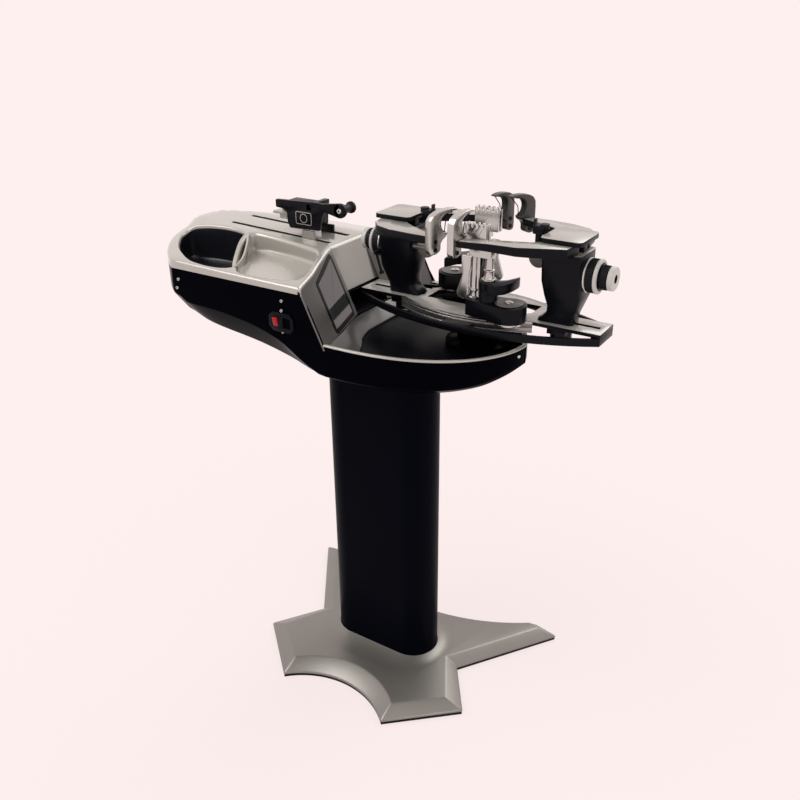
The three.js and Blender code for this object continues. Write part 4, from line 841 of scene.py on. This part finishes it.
def coverHeight(x, y):
    c = coverForm
    rows, reach = (c.near, planNear(x)) if y < 0 else (c.far, planFar(x))
    crown = easeTable(scaled(c.crown, plan.left), x) * plan.crown
    return plan.seam + crown * easeTable(rows, abs(y) / max(reach, 1))


# Where the crowned sheet meets the slopes: a guessed height over the seam, closed in on in rounds
def edgeX(y, shoulder=0.0):
    x = slopeX(y, plan.seam + coverForm.guess)
    for _ in range(coverForm.rounds):
        x = slopeX(y, coverHeight(x, y) - shoulder)
    return x


# Shares of the run and the drop along a quarter roll
def rollShares(steps):
    turns = [quarter * k / steps for k in range(steps + 1)]
    return [(1 - math.sin(turn), 1 - math.cos(turn)) for turn in turns]


# The wall line from the near front corner round the left end to the far front corner
def coverWall(c):
    stations = planStations()
    corner = [x for x in stations if x <= -plan.cornerStart]
    straight = [x for x in stations if -plan.cornerStart < x < c.wallEnd]
    line = corner + straight
    return [(x, -planNear(x)) for x in reversed(line)] + [(x, planFar(x)) for x in line]


def coverRings(c, wall, shares):
    r = c.shoulder
    inwards = [(x - ox, y - oy) for (x, y), (ox, oy) in zip(wall, offsetLoop(wall, 1.0))]
    inwards[0], inwards[-1] = (0, 1), (0, -1)
    rings = []
    for run, drop in shares:
        ring = [(x + nx * r * run, y + ny * r * run, coverHeight(x + nx * r, y + ny * r) - r * drop)
                for (x, y), (nx, ny) in zip(wall, inwards)]
        ends = []
        for k, side in ((0, 1), (-1, -1)):
            y, inner = ring[k][1], wall[k][1] + side * r
            x = edgeX(inner, r * drop) + slopeRun.across * abs(y - inner) - c.roll
            ends.append((x, y, coverHeight(x, inner) - r * drop))
        rings.append([ends[0], *ring, ends[1]])
    return rings


# The front edge rolls down onto the slopes
def coverFront(form, c, rings):
    half, gap, roll = ridge.half, c.ridgeGap, c.roll
    across = [(ring[0][1], ring[0]) for ring in reversed(rings)]
    middle = spread(across[-1][0], -half - gap, c.nearSteps)[1:]
    middle += spread(-half + gap, half - gap, c.ridgeSteps)
    middle += spread(half + gap, rings[0][-1][1], c.farSteps)[:-1]
    across += [(y, (edgeX(y) - roll, y, coverHeight(edgeX(y) - roll, y))) for y in middle]
    across += [(ring[-1][1], ring[-1]) for ring in rings]
    columns = []
    for y, start in across:
        tip = Vector((0, y, start[2]))
        tip.x = slopeX(y, tip.z)
        down = Vector((slopeX(y, tip.z - 1) - slopeX(y, tip.z), 0, -1)).normalized()
        start, end = Vector(start), tip + down * roll
        shares = spread(0, 1, c.steps)
        columns.append([tuple(start.lerp(tip, t).lerp(tip.lerp(end, t), t)) for t in shares])
    front = [[column[k] for column in columns] for k in range(c.steps + 1)]
    form.rows(front, closed=False)
    near = [p for p in front[-1] if p[1] < -half]
    middle = [p for p in front[-1] if abs(p[1]) < half]
    back = [p for p in front[-1] if p[1] > half]
    # Slopes beside the ridge in the painted shade colour, the ridge front in the painted light colour
    for row in (near, back):
        form.rows([row, onSlope(row, ridge.footHeight), onSlope(row, plan.footHeight)], False, 1)
    form.rows([middle, onSlope(middle, ridge.footHeight)], False, 2)
    for a, b in ((near[-1], middle[0]), (middle[-1], back[0])):
        form.face(form.add([a, b, *onSlope([b, a], ridge.footHeight)]), 1)
    return front[0]


# Rolled lips and walls of the pockets and slots. The outer loop of each is a hole in the sheet
def coverHoles(form, c, shares):
    pocket, dish = (smoothLoop(scaled(places, plan.left, plan.near), c.tension, c.curveSteps)
                    for places in (c.pocket, c.dish))
    half = c.slotWidth / 2
    slots = [roundBox(c.slotStart, c.slotEnd, y - half, y + half, c.slotCorner)
             for y in (-c.slotOffset, c.slotOffset)]
    loops = [counterClockwise(loop) for loop in (pocket, dish, *slots)]
    lips = (c.pocketLip, c.dishLip, c.slotLip, c.slotLip)
    depths = (c.pocketWall, 0, c.slotDepth, c.slotDepth)
    rims = []
    for loop, lip, depth, kind in zip(loops, lips, depths, (0, 0, 3, 3)):
        rim = offsetLoop(loop, -lip)
        rims.append(rim)
        rings = [[(a[0] + (b[0] - a[0]) * (1 - run), a[1] + (b[1] - a[1]) * (1 - run),
                   coverHeight(*a) - lip * drop) for a, b in zip(rim, loop)] for run, drop in shares]
        if depth:
            form.rows(rings)
            form.rows([rings[-1], [(x, y, z - depth) for x, y, z in rings[-1]]], True, kind)
        else:
            foot = rolledFoot(loop, c.dishInset, c.dishFoot, c.dishFloor, c.steps)
            form.rows(rings + foot)
            form.region([p[:2] for p in foot[-1]], [], lambda x, y: c.dishFloor)
    return rims, loops[0]


def makeCover(c):
    # Top in the pale painted reflection colour, slopes in painted shade, ridge front in painted light, slot
    # walls in rubber
    form = Form("coverPaintedSheen", "coverPaintedShade", "coverFront", "rubber")
    shares = rollShares(c.steps)
    rings = coverRings(c, coverWall(c), shares)
    form.rows(rings, closed=False)
    seam = atHeight([p[:2] for p in rings[-1]], plan.seam + c.seamLift)
    form.rows([rings[-1], seam], closed=False)
    edge = coverFront(form, c, rings)
    low, high = rings[0][0][1], rings[0][-1][1]
    boundary = [p[:2] for p in rings[0]] + [p[:2] for p in edge if low < p[1] < high][::-1]
    rims, pocket = coverHoles(form, c, shares)
    form.region(counterClockwise(boundary), rims, coverHeight, c.grid)
    sheet = thickened(form.mesh("coverCrown", weld=0.05, smoothAt=40), c.thickness, -1, 40)
    addPiece("coverCrown", sheet, "stand", ["top_cover"])
    print("cover made")
    return pocket


pocketLoop = makeCover(coverForm)

# Bin in the first pocket, a deep tub with a rolled foot
binForm = SimpleNamespace(gap=0.6, floor=900.5, foot=8, wall=2.0, steps=5, drop=6.5)


def makeBin(b, loop):
    form = Form("binPlastic")
    top = [(x, y, coverHeight(x, y) - b.drop) for x, y in offsetLoop(loop, b.gap)]
    foot = rolledFoot(loop, b.gap, b.foot, b.floor, b.steps)
    form.rows([top, *foot])
    form.region([p[:2] for p in foot[-1]], [], lambda x, y: b.floor)
    tub = thickened(form.mesh("toolBin", smoothAt=50), b.wall, 1, 50)
    addPiece("toolBin", tub, "stand", ["tool_bin"])


makeBin(binForm, pocketLoop)

# Tray: the rim strip, as insets and heights, pale with a painted reflection, and the ramp that falls from the
# slopes to the floor, darker with painted shade
trayForm = SimpleNamespace(
    rim=[(0, 849.3), (0, 851), (0.8, 852), (7.5, 851.6), (9, 850.4), (9, 849.3)],
    floor=815.3, ramp=3, rampSteps=60, rampEdge=0.6, widest=99, clearance=0.3,
    rampOuter=[(-1, 0.95), (-0.64, 0.3), (-0.4, -0.25), (-0.22, -0.5), (0.22, -0.5), (0.55, -0.25),
                  (1, 0.3)],
    rampInner=[(-1, 2.3), (-0.64, 1.5), (-0.4, 0.55), (-0.22, 0.25), (0.22, 0.25), (0.55, 0.55), (1, 1.3)],
)


def trayLoop(inset):
    foot = plan.slopeFoot
    stations = [x for x in planStations() if x > foot + 1]
    line = [(x, -planNear(x)) for x in [foot, *stations]]
    line += [(x, planFar(x)) for x in [*reversed(stations[:-1]), foot - slopeShift]]
    made = []
    for i, (x, y) in enumerate(line):
        a, b = line[max(i - 1, 0)], line[min(i + 1, len(line) - 1)]
        size = math.hypot(b[0] - a[0], b[1] - a[1])
        made.append((x - (b[1] - a[1]) * inset / size, y + (b[0] - a[0]) * inset / size))
    return made


def makeTray(t):
    form = Form("coverPaintedSheen")
    rings = [atHeight(trayLoop(inset), z) for inset, z in t.rim]
    form.rows([[ring[i] for ring in rings] for i in range(len(rings[0]))], endCaps=True)
    form.piece("trayRim", smoothAt=60)
    form = Form("coverPaintedShade")
    near = planNear(t.widest) - plan.wall - t.clearance
    back = plan.far - plan.wall - 2 * t.ramp
    high, low, foot = plan.footHeight, t.floor, plan.slopeFoot
    rows = []
    for share in spread(-1, 1, t.rampSteps):
        y = share * (near if share < 0 else back)
        a, b = easeTable(t.rampOuter, share) * foot, easeTable(t.rampInner, share) * foot
        rows.append([(a, y, high), (b, y, low + t.ramp), (b, y, low), (a, y, high - t.ramp)])
    form.rows(rows, endCaps=True)
    form.piece("trayRamp", width=t.rampEdge, smoothAt=50)
    print("tray made")


makeTray(trayForm)

# Control panel: a black frame round a glossy grey face, on the near slope.
# Corners are shares of the near side's reach and of the slope's height
panelForm = SimpleNamespace(
    corners=[(-0.712, 0.76), (-0.712, 0.03), (-0.283, 0.04), (-0.283, 0.97)], radius=9, border=8.5,
    margin=2, bevel=0.4, low=-2.6, frame=0.5, face=0.9,
)


def makePanel(p):
    tall = ridge.topHeight - plan.footHeight
    places = [(a * plan.near, plan.footHeight + b * tall) for a, b in p.corners]
    corners = [Vector((slopeX(y, z), y, z)) for y, z in places]
    origin = corners[1]
    sideways = (corners[2] - origin).normalized()
    normal = (corners[2] - origin).cross(corners[0] - origin).normalized()
    normal = normal if normal.x > 0 else -normal
    up = normal.cross(sideways)
    flat = [((c - origin).dot(sideways), (c - origin).dot(up)) for c in corners]
    loop = offsetLoop(counterClockwise(filleted(flat, p.radius)), -p.margin)

    def place(row, lift):
        return [tuple(origin + sideways * a + up * b + normal * lift) for a, b in row]

    form = Form("panelEdge", "panelGlass")
    rim = place(offsetLoop(loop, p.border), p.frame)
    face = place(offsetLoop(loop, p.border + p.bevel), p.face)
    form.rows([place(loop, p.low), place(loop, p.frame), rim])
    form.rows([rim, face], True, 1)
    form.face(form.add(face), 1)
    form.face(reversed(form.add(place(loop, p.low))))
    form.piece("controlPanel", "stand", ["control_panel"], smoothAt=30)


makePanel(panelForm)
for node, finish, width in (
        ("tray_liner", "trayBlack", 0.0006), ("power_inlet", "trayBlack", 0.0006),
        ("power_rocker", "redPlastic", 0.0005), ("guide_rod_near", "brushedSteel", 0),
        ("guide_rod_far", "brushedSteel", 0), ("lead_screw", "brushedSteel", 0),
        ("rail_bracket_rear", "castGrey", 0), ("rail_bracket_front", "castGrey", 0),
        ("drive_motor", "darkPlastic", 0), ("bearing_housing", "blackGloss", 0.001)):
    dress(node, finish, width)
# The carriage is cast grey, and its far half is drawn in black paint as painted shade
dress("tension_carriage", "castGrey", 0.0003, "blackPaint", lambda face: face.center.y > 0)
print("housing made")

# Small round parts that repeat, such as screws, set out by one Geometry Nodes group
def makeRepeater():
    group = bpy.data.node_groups.new("roundRepeater", "GeometryNodeTree")
    sockets = {"Places": "Geometry", "Radius": "Float", "Top Radius": "Float", "Depth": "Float",
               "Sides": "Int", "Turn": "Vector", "Finish": "Material"}
    for name, kind in sockets.items():
        group.interface.new_socket(name, in_out="INPUT", socket_type="NodeSocket" + kind)
    group.interface.new_socket("Result", in_out="OUTPUT", socket_type="NodeSocketGeometry")
    start, end, part, turn, copies, real, dip = (group.nodes.new(kind) for kind in (
        "NodeGroupInput", "NodeGroupOutput", "GeometryNodeMeshCone", "GeometryNodeTransform",
        "GeometryNodeInstanceOnPoints", "GeometryNodeRealizeInstances", "GeometryNodeSetMaterial"))
    for source, output, target, socket in (
            (start, "Sides", part, "Vertices"), (start, "Top Radius", part, "Radius Top"),
            (start, "Radius", part, "Radius Bottom"), (start, "Depth", part, "Depth"),
            (part, "Mesh", turn, "Geometry"), (start, "Turn", turn, "Rotation"),
            (start, "Places", copies, "Points"), (turn, "Geometry", copies, "Instance"),
            (copies, "Instances", real, "Geometry"), (real, "Geometry", dip, "Geometry"),
            (start, "Finish", dip, "Material"), (dip, "Geometry", end, "Result")):
        group.links.new(source.outputs[output], target.inputs[socket])
    return group


repeater = makeRepeater()
facingNear = (quarter, 0, 0)


def repeatRound(name, places, body, radius, depth, turn, finish, sides=20, topShare=0.82):
    mesh = bpy.data.meshes.new(name + "Places")
    mesh.from_pydata([[c * mm for c in p] for p in places], [], [])
    values = {"Radius": radius * mm, "Top Radius": radius * topShare * mm, "Depth": depth * mm,
              "Sides": sides, "Turn": turn, "Finish": paint[finish]}
    made = withModifier(mesh, "NODES", {"node_group": repeater}, values)
    smoothFaces(made, 35)
    made.name = name
    addPiece(name, made, body)


# Screws of the housing: places on the near wall, and one on the tray's end
screws = SimpleNamespace(
    wall=-235.4, places=[(-309, 915), (-315, 897), (-55, 917.5), (-56.4, 899), (-56, 859)],
    radius=3.2, depth=1.6, socketLift=1.7, socketRadius=1.3, socketDepth=0.15,
    end=(333.2, -74.7, 839), endTurn=(quarter, 0, 1.35),
)


def makeScrews(s):
    near = [(x, s.wall, z) for x, z in s.places]
    sockets = [(x, s.wall - s.socketLift, z) for x, z in s.places]
    size = (s.radius, s.depth)
    repeatRound("shellScrews", near, "stand", *size, facingNear, "satinAluminium")
    repeatRound("shellScrewSockets", sockets, "stand", s.socketRadius, s.socketDepth, facingNear,
                "blackPaint", 6, 1.0)
    repeatRound("trayEndScrew", [s.end], "stand", *size, s.endTurn, "satinAluminium")


makeScrews(screws)

# Head of the tension unit: two side plates round a core, with the jaw, the arm and its roller.
# Outlines hold x and z. Blocks are x and z ranges, and then a range across
headForm = SimpleNamespace(
    near=[(-229, 1037), (-229, 1021.6), (-213, 1020.5), (-202, 1014.8), (-201, 995.4), (-196, 984),
             (-123.5, 986.5), (-117, 1012), (-112, 1022), (-107, 1025), (-73, 1017.5), (-73, 1045.5),
             (-114, 1040), (-129, 1041)],
    far=[(-224, 1023.6), (-224, 1011.3), (-202, 1007.8), (-201, 992.8), (-196, 984), (-149, 984),
            (-146, 1025.8), (-156, 1028)],
    nearRange=(-32, -25), farRange=(25, 32), plateCorner=2.5,
    blocks=[((-201, -147, 984, 1010), -25.5, 25.5), ((-223, -168, 1004, 1030), 3, 27),
               ((-152, -140, 1024, 1036), -32, 27), ((-146, -142, 1004, 1030), -30, 0)],
    bevel=0.9, crease=26, face=-32, hubAt=(-73, 1031.5),
    hub=[(0, 0), (12.5, 0), (14, 1.5), (14, 7), (0, 7)], axle=[(0, 0), (4, 0), (4, 42), (0, 42)],
    axleEnd=[(0, 0), (5, 0), (4.2, -1.2), (2, -1.2)], axleSocket=[(2, -1.2), (1.9, -0.3), (0, -0.3)],
    tongue=[((-250, -187, 1004, 1009), 18), ((-234, -187, 995, 1007), 16)], tongueCorner=2,
    tongueBevel=0.7, screws=[(-192, 1027), (-140, 1032)], screwRadius=2.4, screwDepth=1.2,
    screwLift=0.4,
    badge=(-160, 1007), badgeWide=39, badgeTall=25, badgeCorner=4, badgeLine=1.2, ring=9,
    ringLine=1.1, sink=0.1, lift=0.35,
)


def sidePlate(form, outline, y0, y1):
    flat = counterClockwise(outline)
    form.rows([[(x, y, z) for x, z in flat] for y in (y0, y1)], endCaps=True)


def makeHeadBody(h, body):
    form = Form("blackPaint")
    for outline, across in ((h.near, h.nearRange), (h.far, h.farRange)):
        sidePlate(form, filleted(outline, h.plateCorner, 3), *across)
    for block, y0, y1 in h.blocks:
        sidePlate(form, boxLoop(*block), y0, y1)
    origin = (h.hubAt[0], h.face, h.hubAt[1])
    lathe(form, h.hub, origin, (0, 1, 0))
    lathe(form, h.axle, origin, (0, 1, 0), 20)
    form.piece("headBody", body, ["tension_head"], width=h.bevel, crease=h.crease)
    # The tongue is drawn all over in the pale painted reflection finish
    form = Form("paintedSheenOnBlack")
    for block, half in h.tongue:
        sidePlate(form, filleted(boxLoop(*block), h.tongueCorner, 3), -half, half)
    form.piece("headTongue", body, width=h.tongueBevel, crease=h.crease)


# The badge is a bare outline with a ring in it
def makeHeadBadge(h, body):
    form = Form("satinAluminium")
    (cx, cz), wide, tall = h.badge, h.badgeWide / 2, h.badgeTall / 2
    outline = roundBox(cx - wide, cx + wide, cz - tall, cz + tall, h.badgeCorner)
    for loop, line in ((outline, h.badgeLine), (circle(cx, cz, h.ring, 48), h.ringLine)):
        inner = offsetLoop(loop, line)
        steps = ((loop, -h.sink), (loop, h.lift), (inner, h.lift), (inner, -h.sink))
        form.rows([[(x, h.face - lift, z) for x, z in row] for row, lift in steps])
    form.piece("headBadgeRing", body)


def makeHeadFittings(h, body):
    form = Form("satinAluminium", "blackPaint")
    origin = (h.hubAt[0], h.face, h.hubAt[1])
    lathe(form, h.axleEnd, origin, (0, 1, 0), 28)
    lathe(form, h.axleSocket, origin, (0, 1, 0), 6, [1, 1])
    form.piece("headAxleEnd", body)
    places = [(x, h.face - h.screwLift, z) for x, z in h.screws]
    repeatRound("headScrews", places, body, h.screwRadius, h.screwDepth, facingNear, "darkPlastic")


for make in (makeHeadBody, makeHeadBadge, makeHeadFittings):
    make(headForm, bodyOf("tension_head"))
# The jaw takes the pale painted reflection finish
dress("gripper_jaw", "paintedSheenOnBlack", 0.0006)
dress("guide_roller", "darkPlastic", 0.0008)
print("head made")

# Knobs on a tower's end: a black grip with pale rings, and a smaller one with a socket.
# Profiles hold radius, distance outwards, and the finish of the stretch that follows.
# Ribs hold radius, distance outwards and length
knobForm = SimpleNamespace(
    start=201.4, height=90, ribs=36,
    armFinishes=("darkPlastic", "satinAluminium", "whitePlastic"),
    arm=[(6.4, 0, 0), (28.5, 0, 1), (29.6, 0.8, 1), (29.6, 2.6, 1), (28.6, 3.4, 0), (28.2, 3.6, 0),
            (28.2, 16, 0), (27, 16.6, 0), (27, 17.2, 2), (28.9, 17.6, 2), (29.6, 18.4, 2), (29.6, 21.6, 2),
            (28.4, 23, 2), (24, 23.6, 0), (22, 23.6, 0), (6.4, 23.4, 0)],
    armRibs=(28.2, 4.55, 10.5),
    supportFinishes=("darkPlastic", "whitePlastic"),
    support=[(6, 20, 0), (6, 24.2, 0), (19.4, 24.4, 0), (20, 25, 0), (20, 37, 0), (18.6, 37.6, 0),
                (18.6, 38.4, 1), (20, 38.8, 1), (20.5, 39.6, 1), (20.5, 46.4, 1), (19, 48, 1), (8.4, 48.2, 1),
                (7.4, 47.6, 0)],
    supportRibs=(20, 26.25, 9.5),
    socket=[(7.4, 47.6), (6.4, 46.9), (6.4, 42), (0, 42)], shaft=[(0, 0.5), (6, 0.5), (6, 20)],
    ribRadius=0.9,
)


def makeKnobs(side, k):
    origin, axis = (k.start, 0, k.height), (1, 0, 0)
    for name in ("arm", "support"):
        form = Form(*getattr(k, name + "Finishes"))
        profile = getattr(k, name)
        lathe(form, [row[:2] for row in profile], origin, axis, 56, [row[2] for row in profile])
        if name == "support":
            lathe(form, k.socket, origin, axis, 6)
            lathe(form, k.shaft, origin, axis, 24)
        node = f"{name}_knob_{side}"
        turnedToSide(form, side).piece(f"{name}KnobGrip_{side}", bodyOf(node), [node], smoothAt=30)
    for name in ("arm", "support"):
        radius, u, length = getattr(k, name + "Ribs")
        places = [onTable(side, k.start + u, v, z) for v, z in circle(0, k.height, radius, k.ribs)]
        repeatRound(f"{name}KnobRibs_{side}", places, bodyOf(f"{name}_knob_{side}"), k.ribRadius, length,
                    (0, outward(side) * quarter, 0), "darkPlastic", 6, 1.0)


# Hooks: a plate with a long beak and a lip, a pad in the mouth, a wire across it and two bolts.
# Arms: where a hook stands at its arm's end, and a place further in along the arm.
# Outline places: distance inwards from the arm's end, and height over the plate
hookForm = SimpleNamespace(
    arms={"long": ((7.6, -106), (10.45, -83.74)), "short": ((45.6, 106), (38, 85.86))},
    width=13, gap=0.3,
    outer=[(-9, 122), (-9, 163), (-8, 174), (-2, 182), (9, 187), (24, 189.5), (38, 190), (51, 188.5),
              (49.5, 185.5)],
    mouth=[(40, 185.6), (29, 184.3), (20, 180), (15, 173.5), (14, 165), (16.5, 157), (21, 152),
              (26, 150.5)],
    lip=[(29, 151.2), (29.5, 148), (26, 143.5), (19, 139), (15, 133), (15, 121), (5, 116), (-6, 116)],
    corner=9, bevel=1.0, padHalf=5.6, padCentre=(30, 168), padShare=0.12, padEdge=0.5,
    wire=0.8, wirePath=[(48.5, 187), (30, 168), (27.5, 149.5)], bolts=[(3, 124), (3, 138)],
    bolt=[(0, 0.8), (2.2, 0.8), (2.4, 1.6), (3.6, 1.6), (4, 1), (4, -0.2)],
)


def makeHook(side, kind, finish, h):
    node = f"hook_{kind}_{side}"
    body = bodyOf(node)
    tip, root = (Vector(p) for p in h.arms[kind])
    inwards = (root - tip).normalized()
    away = Vector((-abs(inwards.y), math.copysign(1, inwards.y) * inwards.x))

    def place(s, depth, z):
        return onTable(side, *(tip + inwards * s + away * (h.gap + depth)), z)

    form = Form(finish)
    outline = filleted(h.outer + h.mouth + h.lip, h.corner, 5)
    form.rows([[place(s, depth, z) for s, z in outline] for depth in (0, h.width)], endCaps=True)
    form.piece(f"hookPlate_{kind}_{side}", body, [node], width=h.bevel, segments=3, smoothAt=34)

    form = Form("rubber")
    middle = h.width / 2
    sides = (middle - h.padHalf, middle + h.padHalf)
    (cx, cz), share = h.padCentre, h.padShare
    mouth = openFilleted(h.mouth, h.corner, 5)
    smaller = [(x + (cx - x) * share, z + (cz - z) * share) for x, z in h.mouth]
    inner = openFilleted(smaller, h.corner, 5)
    form.rows([[place(a[0], sides[0], a[1]), place(b[0], sides[0], b[1]), place(b[0], sides[1], b[1]),
                place(a[0], sides[1], a[1])] for a, b in zip(mouth, inner)], endCaps=True)
    form.piece(f"hookPad_{kind}_{side}", body, width=h.padEdge)

    form = Form("darkPlastic")
    path = [Vector(place(s, middle, z)) for s, z in openFilleted(h.wirePath, h.corner)]
    for a, b in zip(path, path[1:]):
        length = (b - a).length
        if length > h.wire / 4:
            lathe(form, [(h.wire, 0), (h.wire, length)], a, (b - a).normalized(), 10)
    form.piece(f"hookWire_{kind}_{side}", body)

    form = Form("darkPlastic")
    normal = Vector(onTable(side, *away, 0)) - Vector(onTable(side, 0, 0, 0))
    for s, z in h.bolts:
        lathe(form, h.bolt, place(s, h.width, z), normal, 20)
        lathe(form, h.bolt, place(s, 0, z), -normal, 20)
    form.piece(f"hookBolts_{kind}_{side}", body)


# Boss on a tower's side that the lock lever's pin turns in
leverBoss = SimpleNamespace(at=(196, 27, 80), profile=[(0, 0), (6.5, 0), (6.5, 6.2), (5.5, 7.2), (0, 7.2)])


def makeLeverBoss(side, b):
    form = Form("blackPaint")
    lathe(form, b.profile, b.at, (0, 1, 0), 32)
    turnedToSide(form, side).piece("leverBoss_" + side, bodyOf("tower_" + side))


# Clamp base: a dark disc with fine pale rings round a bright hub.
# A ring's profile is a distance in from its outer or inner edge, a height and a finish
clampDisc = SimpleNamespace(
    at=(86, -58, 35.4), radius=25, rings=6, hubRadius=7.5, outerStep=0.5, innerStep=0.7,
    fall=0.3, high=1.5, low=1.0,
    hub=[(7.5, 0.8), (7.5, 2.4), (6.7, 3.2), (2.4, 3.4), (2, 2.6), (0, 2.6)],
)


def makeClampDisc(side, c):
    form = Form("darkPlastic", "castGrey")
    rows, kinds = [(c.radius, 0), (c.radius, 1)], [0]
    span = (c.radius - c.hubRadius) / c.rings
    for k in range(c.rings):
        outer = c.radius - k * span
        inner = outer - span
        rows += [(outer - c.outerStep, c.high), (inner + c.innerStep, c.high),
                 (inner + c.fall, c.low)]
        kinds += [0, 1, 0]
    lathe(form, [*rows, (0, 1)], c.at, (0, 0, 1), 56, [*kinds, 0])
    body = bodyOf("clamp_arm_" + side)
    turnedToSide(form, side).piece("clampDisc_" + side, body, smoothAt=30)
    form = Form("brushedSteel")
    lathe(form, c.hub, c.at, (0, 0, 1), 40)
    turnedToSide(form, side).piece("clampHub_" + side, body, smoothAt=30)


# Turntable: each node's finish and edge width, and the pale painted reflection finish of its upward faces
dress("turntable_plate", "blackPaint", 0.0006, "paintedSheenOnBlack", upwardAbove(885))
dress("turntable_frame", "blackPaint", 0.001)
dress("glide_rail_near", "railMetal", 0.0003)
dress("glide_rail_far", "railMetal", 0.0003)
sheenTopsOverArms = upwardAbove(1010)
sidePieces = {
    "tower": ("blackPaint", 0.0015, "paintedSheenOnBlack", sheenTopsOverArms),
    "arm_long": ("blackPaint", 0.0012, "paintedSheenOnBlack", sheenTopsOverArms),
    "arm_short": ("blackPaint", 0.0012, "paintedSheenOnBlack", sheenTopsOverArms),
    "center_support": ("darkPlastic", 0.0008), "side_lever": ("castGrey", 0.0005),
    "lock_lever": ("blackPaint", 0.0003), "clamp_slide": ("brushedSteel", 0.0006),
    "clamp_arm": ("blackPaint", 0.0012), "clamp_post": ("brushedSteel", 0.0005),
    "clamp_jaw": ("brushedSteel", 0.0004), "clamp_lever": ("brushedSteel", 0.001),
    "clamp_paddle": ("blackPaint", 0.0015),
}
for side in ("right", "left"):
    for node, looks in sidePieces.items():
        dress(f"{node}_{side}", *looks)
    makeKnobs(side, knobForm)
    makeClampDisc(side, clampDisc)
    makeLeverBoss(side, leverBoss)
    for kind in ("long", "short"):
        # Far hooks are the same steel hooks, drawn in a dark finish as painted shade
        near = (kind == "long") == (side == "right")
        makeHook(side, kind, "brushedSteel" if near else "farHookPaintedShade", hookForm)
print("turntable made")
